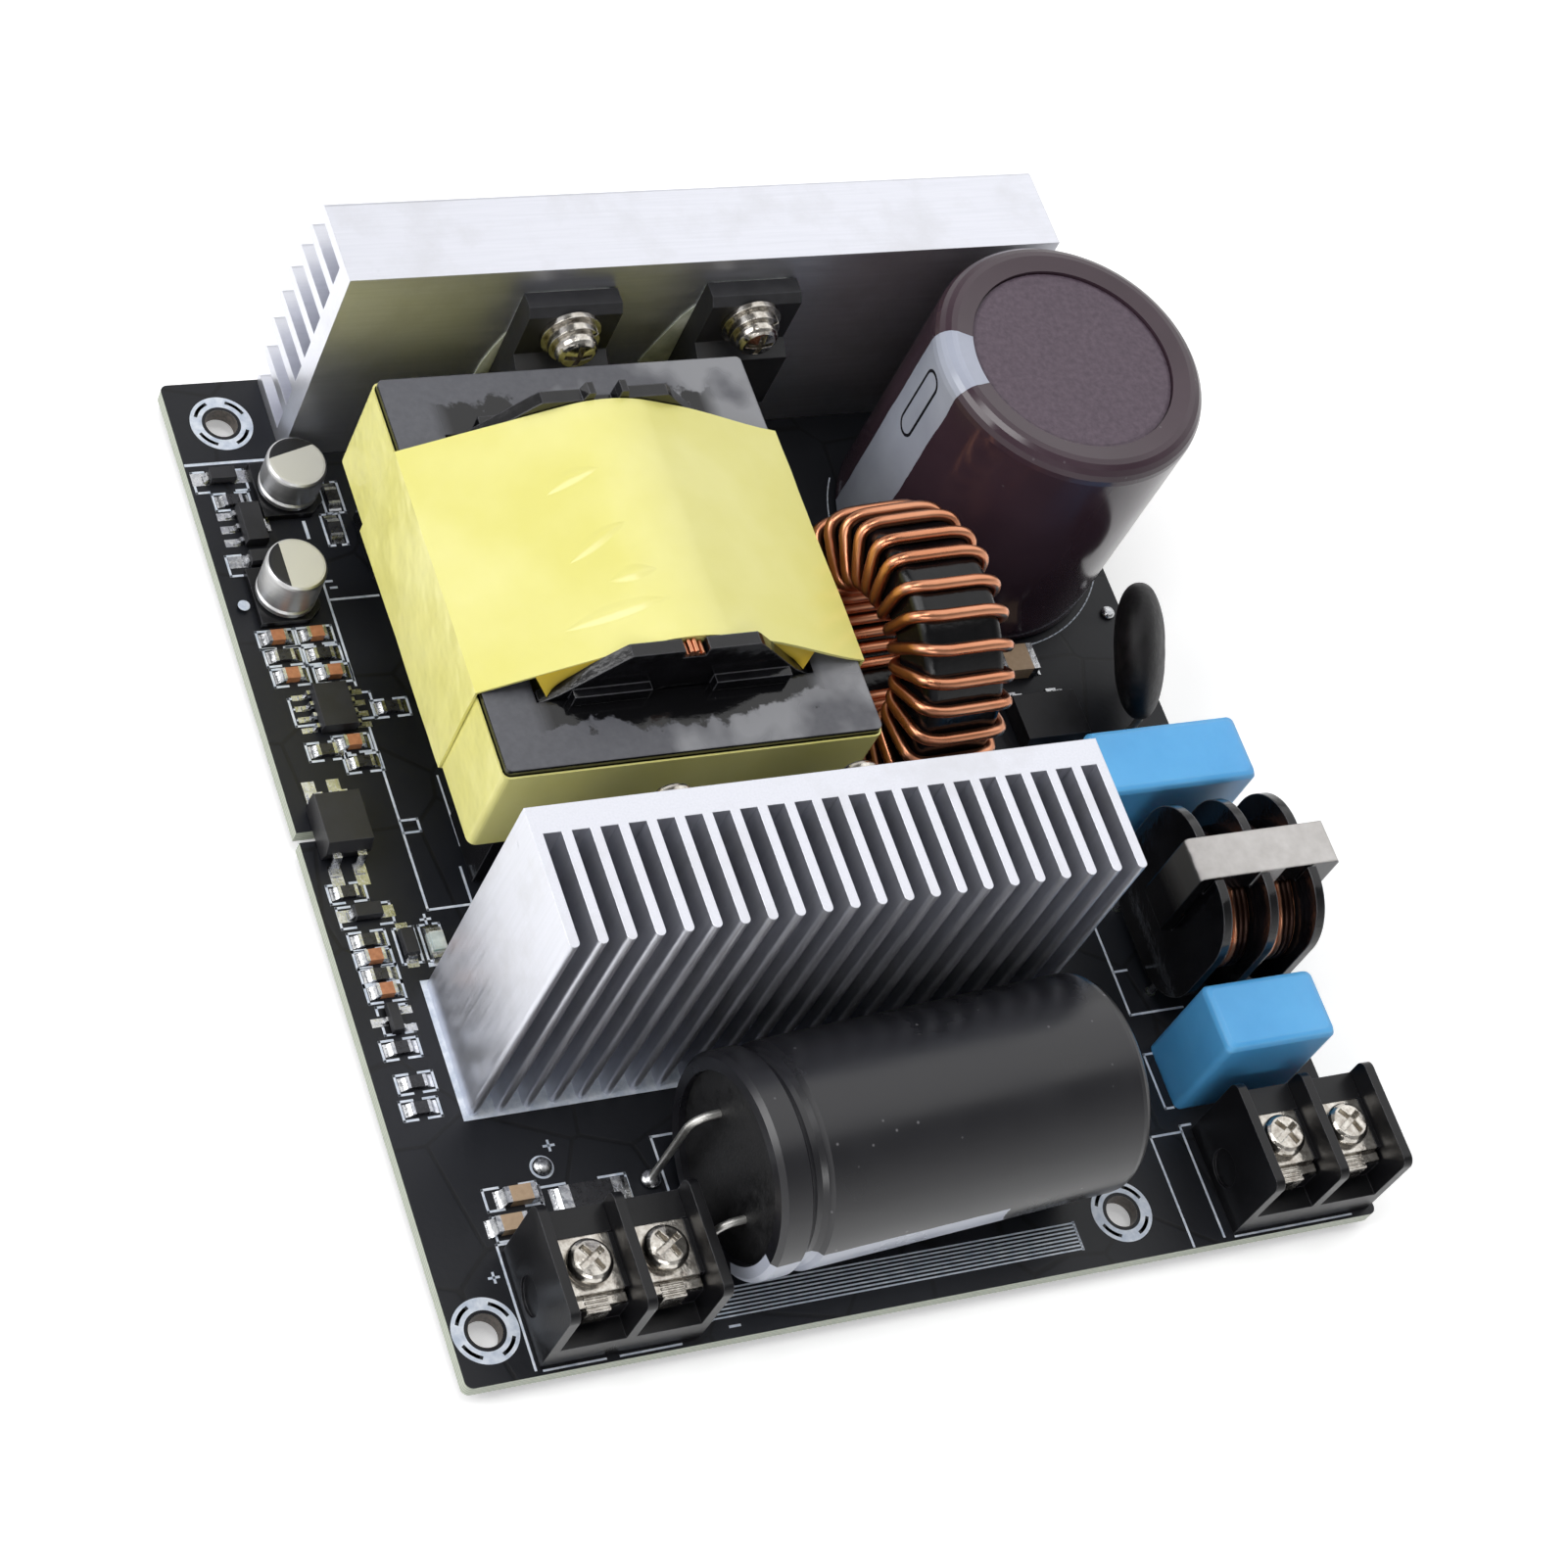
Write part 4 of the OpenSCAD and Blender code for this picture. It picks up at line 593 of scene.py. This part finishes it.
def copied(piece, placements):
    """Copies a piece, each copy with its own mesh, to a list of matrices, and joins the copies."""
    copies = []
    for matrix in placements:
        copy = piece.copy()
        copy.data = piece.data.copy()
        bpy.context.scene.collection.objects.link(copy)
        copy.matrix_world = matrix
        copies.append(copy)
    bpy.data.objects.remove(piece)
    whole = joined(copies)
    bpy.ops.object.transform_apply()
    return whole


# White legend on the board, as strokes by their width and lines as x0, y0, x1, y1, width

ink_t = 0.03
line_w = 0.24


def path(points, width=line_w):
    return [(*a, *b, width) for a, b in zip(points, points[1:])]


def bracket(x0, y0, x1, y1, arm):
    """A pair of square brackets that face each other."""
    return (path([(x0 + arm, y0), (x0, y0), (x0, y1), (x0 + arm, y1)])
            + path([(x1 - arm, y0), (x1, y0), (x1, y1), (x1 - arm, y1)]))


def arc_path(x, y, r, start, end, steps, width):
    turn = [math.radians(start + (end - start) * i / steps) for i in range(steps + 1)]
    return path([(x + r * math.cos(a), y + r * math.sin(a)) for a in turn], width)


def printed(name, lines, material, slot, base=0.0, height=ink_t):
    """Copies one plane to each line, then raises them all as a thin print."""
    deselect()
    bpy.ops.mesh.primitive_plane_add(size=1)
    plane = bpy.context.object
    placements = []
    for x0, y0, x1, y1, width in lines:
        length = math.hypot(x1 - x0, y1 - y0) + width * 0.9
        placements.append(Matrix.Translation(on_board((x0 + x1) / 2, (y0 + y1) / 2, base))
                          @ Matrix.Rotation(math.atan2(y1 - y0, x1 - x0), 4, "Z")
                          @ Matrix.Diagonal((length * MM, width * MM, 1, 1)))
    piece = copied(plane, placements)
    bpy.ops.object.mode_set(mode="EDIT")
    extrude_all(0, 0, height)
    keep(piece, name, material, slot)


strokes = {
    0.32: [[(0.2, 101.95), (8.6, 101.95)]],
    line_w: [
        # Strip of small parts on the left
        [(11.6, 86.7), (10.65, 86.7), (10.65, 74.3)], [(10.65, 69.4), (10.65, 48.45), (15.3, 48.45)],
        [(10.8, 84.5), (16.0, 84.5)], [(11.3, 85.9), (11.9, 85.9)],
        [(10.7, 57.1), (12.5, 57.1), (12.5, 58.5), (10.7, 58.5)], [(15.3, 48.6), (15.3, 52.6)],
        [(6.3, 69.4), (8.9, 69.4)], [(6.0, 73.5), (3.3, 73.5), (3.3, 70.3), (6.0, 70.3)],
        [(10.3, 73.4), (11.8, 73.4), (11.8, 70.4), (10.3, 70.4)],
        [(3.0, 88.3), (1.4, 88.3), (1.4, 90.7), (3.0, 90.7)],
        # Output corner
        [(8.6, 13.4), (7.2, 13.4), (7.2, 15.9), (9.0, 15.9)],
        [(15.4, 18.1), (12.7, 18.1), (12.7, 14.2), (15.8, 14.2)],
        [(18.9, 18.1), (21.6, 18.1), (21.6, 14.3)], [(27.6, 21.3), (25.4, 21.3), (25.4, 15.6)],
        [(8.0, 13.2), (6.95, 13.2), (6.95, 0.6)], [(26.9, 1.15), (27.9, 1.15)],
        [(25.3, 2.1), (25.3, 3.0)], [(65.9, 2.1), (65.9, 5.0)],
        # Mains corner
        [(78.0, 0.2), (78.0, 12.35), (81.7, 12.35)], [(83.0, 13.0), (81.75, 13.0), (81.75, 0.6)],
        [(81.9, 21.3), (80.95, 21.3), (80.95, 15.1), (81.9, 15.1)],
        [(81.25, 40.5), (81.25, 25.85), (87.6, 25.85)], [(81.3, 30.9), (82.9, 30.9)]],
    0.2: [[(3.6, 71.0), (5.6, 71.0)], [(3.6, 72.25), (5.6, 72.25)], [(7.7, 0.4), (13.9, 0.4)],
          [(15.4, 0.4), (21.6, 0.4)], [(83.0, 0.4), (97.0, 0.4)]],
    0.16: [[(25.3, 2.15 + 0.4 * row), (65.9, 2.15 + 0.4 * row)] for row in range(8)],
    0.18: [[(16.0, 55.0), (16.0, 63.0)]],
    0.35: [[(10.65, 92.1), (10.65, 94.0)]],
    0.45: [[(9.2, 42.6), (11.2, 42.6)]]}
lines = [line for width, group in strokes.items() for points in group for line in path(points, width)]
for x, y, turn in resistors + capacitors:
    half_l, half_w = (1.9, 1.02) if turn == 0 else (1.02, 1.9)
    lines += bracket(x - half_l, y - half_w, x + half_l, y + half_w, 1.35 if turn == 0 else 0.6)
for corners in ((1.6, 47.6, 7.0, 49.9, 1.4), (0.5, 98.5, 6.0, 101.0, 1.3), (6.5, 43.0, 8.6, 46.9, 0.6),
                (9.15, 43.0, 11.3, 46.9, 0.6), (7.2, 16.55, 12.6, 18.8, 1.6)):
    lines += bracket(*corners)
for x, y, sx, sy in ((2.5, 38.9, 1, -1), (2.6, 35.9, 1, 1), (5.6, 38.9, -1, -1), (5.6, 35.9, -1, 1)):
    lines += path([(x + 0.9 * sx, y), (x, y), (x, y + 0.8 * sy)])
# Plus signs
for x, y, half in ((10.1, 47.5, 0.475), (15.05, 22.15, 0.5), (5.75, 10.1, 0.475)):
    lines += path([(x - half, y), (x + half, y)]) + path([(x, y - half), (x, y + half)])
# Ring round the bulk capacitor
lines += arc_path(*bulk, 15.75, 150, 334, 60, 0.14)
# Solid white ground below the front heatsink
lines += [(14.4, 33.5, 61.4, 33.5, 15.1)]
printed("board_legend", lines, ink, "board")


# Pads round the fixing holes: white rings with dark slots

pad_outer, pad_inner = 3.3, 2.05
slot_r, slot_w, slot_t = 2.72, 0.36, 0.012


def flat_ring(x, y, outer, inner, vertices=64):
    deselect()
    bpy.ops.mesh.primitive_circle_add(
        vertices=vertices, radius=outer * MM, fill_type="NGON", location=on_board(x, y))
    edit_all()
    bpy.ops.mesh.inset(thickness=(outer - inner) * MM)
    bpy.ops.mesh.delete(type="FACE")
    extrude_all(0, 0, ink_t)
    bpy.ops.object.mode_set(mode="OBJECT")
    ring = bpy.context.object
    bpy.ops.object.transform_apply()
    return ring


rings = [flat_ring(x, y, pad_outer, pad_inner) for x, y in fixing_holes]
rings += [flat_ring(13.7, 20.1, 1.2, 0.95, 32)]
keep(joined(rings), "pad_rings", ink, "board")
slots = []
for x, y in fixing_holes:
    for quarter in range(4):
        slots += arc_path(x, y, slot_r, 90 * quarter + 25, 90 * quarter + 65, 6, slot_w)
printed("pad_slots", slots, solder_mask, "board", ink_t, slot_t)


# Solder at the ends of the small chips: a pad with a hollow slope of solder against the chip

def solder_slope():
    """One slope, a unit long, wide and high: the chip's end at x = 0, the pad towards +X."""
    deselect()
    bpy.ops.mesh.primitive_cube_add(size=1, location=(0.5, 0, 0.5))
    bpy.ops.object.transform_apply()
    edit_all()
    bpy.ops.mesh.subdivide(number_cuts=4)
    bpy.ops.object.mode_set(mode="OBJECT")
    slope = bpy.context.object
    for vertex in slope.data.vertices:
        run = min(max(vertex.co.x, 0.0), 1.0)
        vertex.co.z *= 0.08 + 0.92 * (1 - run) ** 2.2
        vertex.co.y *= 1 - 0.12 * vertex.co.z
    return shaded()


def at_chip(side, x, y, turn, length, width, height, reach):
    """The matrix that sets a slope against one end of a chip."""
    spin = math.radians(turn + (0 if side > 0 else 180))
    end = Vector((math.cos(spin), math.sin(spin), 0)) * length / 2
    return (Matrix.Translation(on_board(x, y) + end * MM) @ Matrix.Rotation(spin, 4, "Z")
            @ Matrix.Diagonal((reach * MM, width * MM, height * MM, 1)))


# Chips as x, y and turn, then their length, and the width, height and reach of the solder
soldered = [(*chip, chip_l, 1.35, 0.36, 0.72) for chip in resistors]
soldered += [(*chip, chip_l, 1.35, 0.6, 0.72) for chip in capacitors]
soldered += [(10.5, 17.5, 0, 3.2, 1.8, 0.8, 0.8), (8.8, 14.8, 0, 3.2, 1.8, 0.8, 0.8),
             (17.6, 16.1, 0, 6.3, 3.3, 0.4, 0.9), (83.8, 68.4, 0, 4.5, 3.4, 1.0, 0.9),
             (10.3, 44.6, 90, 3.2, 1.5, 0.4, 0.6)]
placements = [at_chip(side, *chip) for chip in soldered for side in (-1, 1)]
keep(copied(solder_slope(), placements), "chip_solder", tin, "tin")

# Flat tinned pads under the leads of the larger chips
pads = []
for side in (-1, 1):
    for i in range(4):
        y = 71.6 + (i - 1.5) * 1.27
        pads.append((7.35 + side * 2.3, y, 7.35 + side * 3.4, y, 0.6))
    for i in (-1, 1):
        pads.append((3.9 + i * 1.27, 58 + side * 4.1, 3.9 + i * 1.27, 58 + side * 5.4, 1.3))
    pads.append((4.4 + side * 1.7, 48.9, 4.4 + side * 2.3, 48.9, 1.3))
    pads.append((3.4 + side * 1.7, 100.1, 3.4 + side * 2.4, 100.1, 1.5))
    pads.append((7.5, 45 + side * 1.5, 7.5, 45 + side * 1.9, 1.2))
for i in (-1, 0, 1):
    pads.append((2.2, 93.8 + 1.6 * i, 3.2, 93.8 + 1.6 * i, 0.9))
pads += [(2.2, 89.9, 3.2, 89.9, 1.4), (2.0, 37.3, 2.8, 37.3, 0.9), (5.0, 38.25, 5.6, 38.25, 0.8),
         (5.0, 36.35, 5.6, 36.35, 0.8)]
printed("lead_pads", pads, tin, "tin", 0.0, 0.04)


def solder_dome(x, y, r, height):
    """A round drop of solder, flat underneath."""
    deselect()
    bpy.ops.mesh.primitive_uv_sphere_add(segments=24, ring_count=12, radius=MM)
    edit_all()
    bpy.ops.mesh.bisect(plane_co=(0, 0, 0), plane_no=(0, 0, 1), clear_inner=True, use_fill=True)
    bpy.ops.mesh.select_all(action="SELECT")
    bpy.ops.transform.resize(value=(r, r, height))
    bpy.ops.object.mode_set(mode="OBJECT")
    dome = bpy.context.object
    dome.location = on_board(x, y)
    bpy.ops.object.transform_apply()
    return shaded(50)


domes = [
    solder_dome(*d) for d in ((13.7, 20.1, 0.95, 0.5), (23.9, 17.0, 1.0, 0.5), (98.05, 73.4, 0.8, 0.4))]
keep(joined(domes), "solder_drops", tin, "tin")
keep(solder_dome(1.6, 84.5, 0.62, 0.04), "legend_dot", ink, "board")


# Tape on the transformer, pulled over the core and the round coil

def crumple(piece, size, strength, name):
    """Raises soft wrinkles outwards, size and strength in mm."""
    noise = bpy.data.textures.new(name, "CLOUDS")
    noise.noise_scale = size * MM
    noise.noise_depth = 2
    wrinkles = piece.modifiers.new(name, "DISPLACE")
    wrinkles.texture = noise
    wrinkles.texture_coords = "LOCAL"
    wrinkles.mid_level = 0.25
    wrinkles.strength = strength * MM
    bpy.ops.object.modifier_apply(modifier=name)


def thicken(piece, thickness):
    wall = piece.modifiers.new("wall", "SOLIDIFY")
    wall.thickness = thickness * MM
    wall.offset = -1
    bpy.ops.object.modifier_apply(modifier="wall")


def tent_outline():
    """The band's outline seen from the front: the core's section with the round coil pushed up through it."""
    corner = math.atan2(tent_h, tent_w)
    touch = corner + math.acos(tent_r / math.hypot(tent_w, tent_h))
    quarter = [(tent_w, tent_h * i / 4) for i in range(4)]
    a, b = Vector((tent_w, tent_h)), Vector((math.cos(touch), math.sin(touch))) * tent_r
    quarter += [tuple(a.lerp(b, i / 8)) for i in range(8)]
    quarter += [(tent_r * math.cos(t), tent_r * math.sin(t))
                for t in (touch + (math.pi / 2 - touch) * i / 14 for i in range(15))]
    upper = quarter + [(-x, z) for x, z in reversed(quarter[:-1])]
    return upper + [(-x, -z) for x, z in upper[1:-1]]


def winding_band():
    """One turn of tape: the outline drawn out along the coil in steps, wrinkled and given a wall."""
    outline = tent_outline()
    steps = 24
    deselect()
    bpy.ops.mesh.primitive_circle_add(vertices=len(outline), radius=MM, fill_type="NOTHING")
    band = bpy.context.object
    x, y, z = transformer
    for vertex, (across, up) in zip(band.data.vertices, outline):
        # Wound a little askew: its right side lies nearer the front
        pull = min(max((across - 8) / 12, 0), 1)
        vertex.co = on_board(x + across, y - band_w / 2 - 0.95 * pull * pull * (3 - 2 * pull), z + up)
    edit_all()
    for step in range(steps):
        bpy.ops.mesh.extrude_region_move(TRANSFORM_OT_translate={"value": (0, band_w / steps * MM, 0)})
    bpy.ops.mesh.select_all(action="SELECT")
    bpy.ops.mesh.normals_make_consistent(inside=False)
    bpy.ops.object.mode_set(mode="OBJECT")
    crumple(band, 9, 0.2, "band_wrinkles")
    thicken(band, 0.3)
    return shaded()


keep(winding_band(), "tape_band", tape, "tape", "winding_tape")


def core_wrap():
    """The strip of tape round the core's sides, pulled tight round its corners."""
    low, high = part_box("core_tape")
    deselect()
    bpy.ops.mesh.primitive_cube_add(size=1, location=(low + high) / 2, scale=high - low)
    wrap = bpy.context.object
    bpy.ops.object.transform_apply()
    bpy.ops.object.mode_set(mode="EDIT")
    pick(wrap, "FACE", lambda face: abs(face.normal.z) > 0.5)
    bpy.ops.mesh.delete(type="FACE")
    pick(wrap, "EDGE", lambda edge: abs(wrap.data.vertices[edge.vertices[0]].co.z
                                        - wrap.data.vertices[edge.vertices[1]].co.z) > MM)
    bpy.ops.mesh.bevel(offset=0.9 * MM, segments=6, affect="EDGES")
    bpy.ops.mesh.select_all(action="SELECT")
    bpy.ops.mesh.subdivide(number_cuts=12)
    bpy.ops.mesh.normals_make_consistent(inside=False)
    bpy.ops.mesh.select_mode(type="VERT")
    bpy.ops.object.mode_set(mode="OBJECT")
    thicken(wrap, 0.2)
    return shaded()


keep(core_wrap(), "tape_wrap", tape, "tape", "core_tape")


def tape_cuff(side):
    """A corner of the inner tape, folded down beside the front flange: a patch between four points."""
    top, outer, foot, inner = (Vector(p) for p in (
        (-7.3, 58.52, 11.15), (-14.9, 58.52, 8.5), (-13.6, 57.35, 6.62), (-12.5, 58.46, 7.25)))
    deselect()
    bpy.ops.mesh.primitive_grid_add(x_subdivisions=8, y_subdivisions=8, size=1)
    cuff = bpy.context.object
    for vertex in cuff.data.vertices:
        across, down = vertex.co.x + 0.5, vertex.co.y + 0.5
        place = outer.lerp(top, across).lerp(foot.lerp(inner, across), down)
        vertex.co = on_board(transformer[0] - side * place.x, place.y, transformer[2] + place.z)
    thicken(cuff, 0.06)
    return shaded()


keep(joined([tape_cuff(-1), tape_cuff(1)]), "tape_cuffs", inner_tape, "tape")


# Windings: round wire swept along its path

def wire(points, radius):
    """A round wire through the points, in metres."""
    curve = bpy.data.curves.new("wire", "CURVE")
    curve.dimensions = "3D"
    curve.bevel_depth = radius * MM
    curve.bevel_resolution = 3
    curve.use_fill_caps = True
    spline = curve.splines.new("POLY")
    spline.points.add(len(points) - 1)
    for target, point in zip(spline.points, points):
        target.co = (*point, 1)
    choose(placed("wire", curve))
    bpy.ops.object.convert(target="MESH")
    bpy.ops.object.shade_smooth()
    return bpy.context.object


turns, loop = 25, 44
wound, first_turn, jitter = 340, -80, 1.4
lead_tip = 3.1
wire_d = 1.2
wire_shown = 1.28
ring_outer, ring_inner, ring_depth, wire_gap = 26.6, 14.6, 9.2, 0.08
loop_radial = (ring_outer - ring_inner) / 4 + wire_gap + wire_d / 2
loop_axial = ring_depth / 2 + wire_gap + wire_d / 2
loop_mid = (ring_outer + ring_inner) / 4
to_toroid = Matrix.Translation(on_board(*toroid)) @ Matrix.Rotation(toroid_yaw, 4, "Z")


def squarish(v):
    return math.copysign(abs(v) ** (1 / 2.4), v)


def toroid_wire():
    """The whole winding: squarish loops round the core's section, laid by hand a little unevenly."""
    lay = random.Random(5)
    starts = [first_turn + wound / turns * i + (lay.uniform(-jitter, jitter) if 0 < i < turns else 0)
              for i in range(turns + 1)]
    centre = []
    for i in range(1, turns * loop):
        turn, part = divmod(i, loop)
        t = 2 * math.pi * part / loop
        a = math.radians(starts[turn] + (starts[turn + 1] - starts[turn]) * part / loop)
        radius = loop_mid + loop_radial * squarish(math.cos(t))
        centre.append(
            Vector((loop_axial * squarish(math.sin(t)), radius * math.cos(a), radius * math.sin(a))))
    tip_z = -toroid[2] - lead_tip
    first, last = centre[0], centre[-1]
    path_points = [Vector((0, first.y, tip_z)), Vector((0, first.y, first.z - 1.0))] + centre[2:-2]
    path_points += [Vector((0, last.y, last.z - 1.0)), Vector((0, last.y, tip_z))]
    return wire([to_toroid @ (p * MM) for p in path_points], wire_shown / 2)


keep(toroid_wire(), "toroid_wire", copper, "copper", "toroid_winding")


def choke_coil(side):
    """One of the choke's two coils, between the bobbin's flanges."""
    low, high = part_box("choke_left_winding" if side < 0 else "choke_right_winding")
    centre = on_board(*choke)
    wire_r, coil_r, coil_front, count, facets = 0.36, 5.44, 7.2, 6, 40
    room = high.x - low.x - 2 * wire_r * MM
    points = []
    for i in range(count * facets + 1):
        a = 2 * math.pi * i / facets
        points.append(Vector((low.x + wire_r * MM + room * i / (count * facets),
                              centre.y + coil_front * MM * math.sin(a),
                              centre.z + coil_r * MM * math.cos(a))))
    coil = wire(points, wire_r)
    deselect()
    bpy.ops.mesh.primitive_cylinder_add(
        vertices=48, radius=(coil_r - 0.1) * MM, depth=high.x - low.x - 0.1 * MM,
        location=((low.x + high.x) / 2, centre.y, centre.z), rotation=(0, math.pi / 2, 0))
    layer = bpy.context.object
    bpy.ops.object.transform_apply()
    edit_all()
    bpy.ops.mesh.bevel(offset=0.1 * MM, segments=2)
    return joined([coil, layer])


keep(choke_coil(-1), "choke_left_coil", coil_copper, "copper", "choke_left_winding")
keep(choke_coil(1), "choke_right_coil", coil_copper, "copper", "choke_right_winding")


# Ends of the winding that lie in the notch of the front flange
strand_r, notch_z = 0.26, 28.5
strand_ends = ((-0.8, 0.0), (-0.25, 0.05), (0.3, 0.0), (0.82, 0.04), (-0.5, 0.45), (0.05, 0.48))
strands = [wire([on_board(transformer[0] + x, y, notch_z + rise) for y in (57.05, 57.7, 58.45)], strand_r)
           for x, rise in strand_ends]
keep(joined(strands), "notch_wires", copper, "copper")


# Thermistor: a ceramic disc that its dip rounds to a lens

dip_half = (7.2, 7.2, 2.65)
dip_turn, dip_tilt = math.radians(-24), math.radians(64.3)
blunt = 2.3


def dipped_disc():
    low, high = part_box("thermistor")
    deselect()
    bpy.ops.mesh.primitive_uv_sphere_add(segments=48, ring_count=32, radius=MM)
    disc = bpy.context.object
    for vertex in disc.data.vertices:
        # Blunter at the rim than an ellipse
        out = min(math.hypot(vertex.co.x, vertex.co.y) / MM, 1)
        vertex.co.z = math.copysign((1 - out ** blunt) ** (1 / blunt) * MM, vertex.co.z)
    edit_all()
    bpy.ops.transform.resize(value=dip_half)
    bpy.ops.object.mode_set(mode="OBJECT")
    crumple(disc, 5, 0.2, "uneven_dip")
    disc.matrix_world = (Matrix.Translation((low + high) / 2) @ Matrix.Rotation(dip_turn, 4, "Z")
                         @ Matrix.Rotation(dip_tilt, 4, "Y"))
    bpy.ops.object.shade_smooth()
    return disc


keep(dipped_disc(), "thermistor_dip", epoxy_dip, "dark_coat", "thermistor")


# Paste squeezed out from under the transistors, drawn as x and z on the heatsink's face

smear_t = 0.14


def paste_smear(outline):
    deselect()
    bpy.ops.mesh.primitive_circle_add(vertices=len(outline), radius=MM, fill_type="NGON")
    smear = bpy.context.object
    for vertex, (x, z) in zip(smear.data.vertices, outline):
        vertex.co = on_board(x, sink_face - 0.01, z)
    bpy.ops.object.mode_set(mode="EDIT")
    extrude_all(0, -smear_t, 0)
    bpy.ops.mesh.bevel(offset=0.05 * MM, segments=2)
    return shaded(50)


smears = [paste_smear([(29.9, 19.3), (29.2, 17.3), (28.7, 15.4), (28.4, 13.8), (28.3, 11.5), (29.9, 11.5)]),
          paste_smear([(50.2, 22.0), (49.1, 20.2), (48.3, 18.0), (47.5, 15.6), (46.8, 13.4), (46.5, 11.0),
                       (50.2, 11.0)])]
keep(joined(smears), "paste_smears", silicone, "pad")


# Bare walls of the fixing holes

hole_r, board_t = 1.69, 1.6


def hole_sleeve(x, y):
    deselect()
    bpy.ops.mesh.primitive_cylinder_add(
        vertices=48, radius=hole_r * MM, depth=board_t * MM, end_fill_type="NOTHING",
        location=on_board(x, y, -board_t / 2))
    bpy.ops.object.transform_apply()
    sleeve = bpy.context.object
    thicken(sleeve, 0.05)
    return shaded()


keep(joined([hole_sleeve(x, y) for x, y in fixing_holes]), "hole_walls", hole_wall, "board")


# Ribs pressed in the front tongues of the terminals

contact_z = 7.1
rib_r, rib_l, rib_pitch = 0.15, 2.3, 0.42
rail_w, rail_h = 0.48, 0.75


def contact_rib():
    deselect()
    bpy.ops.mesh.primitive_cylinder_add(
        vertices=12, radius=rib_r * MM, depth=rib_l * MM, rotation=(0, math.pi / 2, 0))
    bpy.ops.object.transform_apply()
    edit_all()
    bpy.ops.mesh.bisect(plane_co=(0, 0, 0), plane_no=(0, 0, 1), clear_inner=True, use_fill=True)
    return shaded()


cells = (11.61, 19.23, 87.17, 94.79)
ribs = [Matrix.Translation(on_board(x, 2.56 + rib_pitch * i, contact_z)) for x in cells for i in range(4)]
keep(copied(contact_rib(), ribs), "contact_ribs", nickel, "nickel")
# Strips of black plastic beside and behind each clamp, over its contact plate
rails = []
for x in cells:
    rails.append((x - 2, 11.05, x + 2, 11.05, 2.85))
    rails += [(side, 4.3, side, 9.3, rail_w) for side in (x - 3.06, x + 3.06)]
printed("terminal_rails", rails, black_plastic, "black_plastic", contact_z, rail_h)


# Floor, light and camera

paper_lift = 0.35
studio_light = 0.26


def looked_at(add):
    """1 where a ray comes from the camera, a reflection or clear plastic, and 0 where it only lights."""
    rays = add("LightPath").outputs
    direct = add("Math", [rays["Is Camera Ray"], rays["Is Glossy Ray"]], operation="MAXIMUM")
    return add("Math", [direct, rays["Is Transmission Ray"]], operation="MAXIMUM")


deselect()
bpy.ops.mesh.primitive_plane_add(size=6, location=(0, 0, cad_box[0].z))
floor = bpy.context.object
floor.name = "floor"
paper, add_to_paper, paper_place = begin("white_paper", roughness=0.9)
sheet = mottled(add_to_paper, paper_place, 40, 2.0, "#f8f8f8", "#fbfbfb")[1]
# Seen directly or in a reflection the paper is lifted to white, and its shadow stays
lift = add_to_paper("Math", [looked_at(add_to_paper), paper_lift], operation="MULTIPLY")
shade(paper, base_color=sheet, emission_color=(1, 1, 1, 1), emission_strength=lift)
floor.data.materials.append(paper)

world = bpy.data.worlds.new("studio")
bpy.context.scene.world = world
world.use_nodes = True
world.node_tree.nodes.clear()
add_to_sky = partial(add_node, world.node_tree)
shown = looked_at(add_to_sky)
# Seen in reflections, the studio is white at the horizon and darker towards its ceiling
up = add_to_sky("SeparateXYZ", [add_to_sky("TexCoord").outputs["Generated"]]).outputs["Z"]
ceiling = add_to_sky("MapRange", [up, 0.08, 0.7, 1.0, 0.2])
soft = add_to_sky("Background", {"Color": (1, 1, 1, 1), "Strength": studio_light})
white = add_to_sky("Background", {"Color": (1, 1, 1, 1), "Strength": ceiling})
either = add_to_sky("MixShader", [shown, soft, white])
add_to_sky("OutputWorld", {"Surface": either})


aim = Vector((0, 0, 0.02))


def softbox(name, place, size, power):
    """A rectangular lamp that faces the middle of the object."""
    lamp = bpy.data.lights.new(name, "AREA")
    lamp.shape = "RECTANGLE"
    lamp.size, lamp.size_y = size
    lamp.energy = power
    box = placed(name, lamp)
    box.location = place
    box.rotation_euler = (aim - Vector(place)).to_track_quat("-Z", "Y").to_euler()


softbox("left_softbox", (-0.6, 0.1, 0.48), (0.5, 0.5), 3.3)
softbox("overhead_softbox", (0.39, 0.27, 0.65), (0.9, 0.9), 2.6)
softbox("top_lamp", (-0.13, 0.03, 0.66), (0.22, 0.22), 0.8)
softbox("front_strip", (-0.25, -0.6, 0.42), (0.5, 0.1), 0.9)

# Lens, place and turn as fitted to the photo
camera = bpy.data.cameras.new("camera")
camera.lens = 87.8116
camera.sensor_width = 36
camera.clip_start = 0.01
eye = placed("camera", camera)
eye.location = on_board(-122.383, -107.18, 309.615)
eye.rotation_euler = [math.radians(a) for a in (33.0444, -19.503, -19.5862)]
bpy.context.scene.camera = eye
bpy.context.scene.view_settings.view_transform = "Standard"
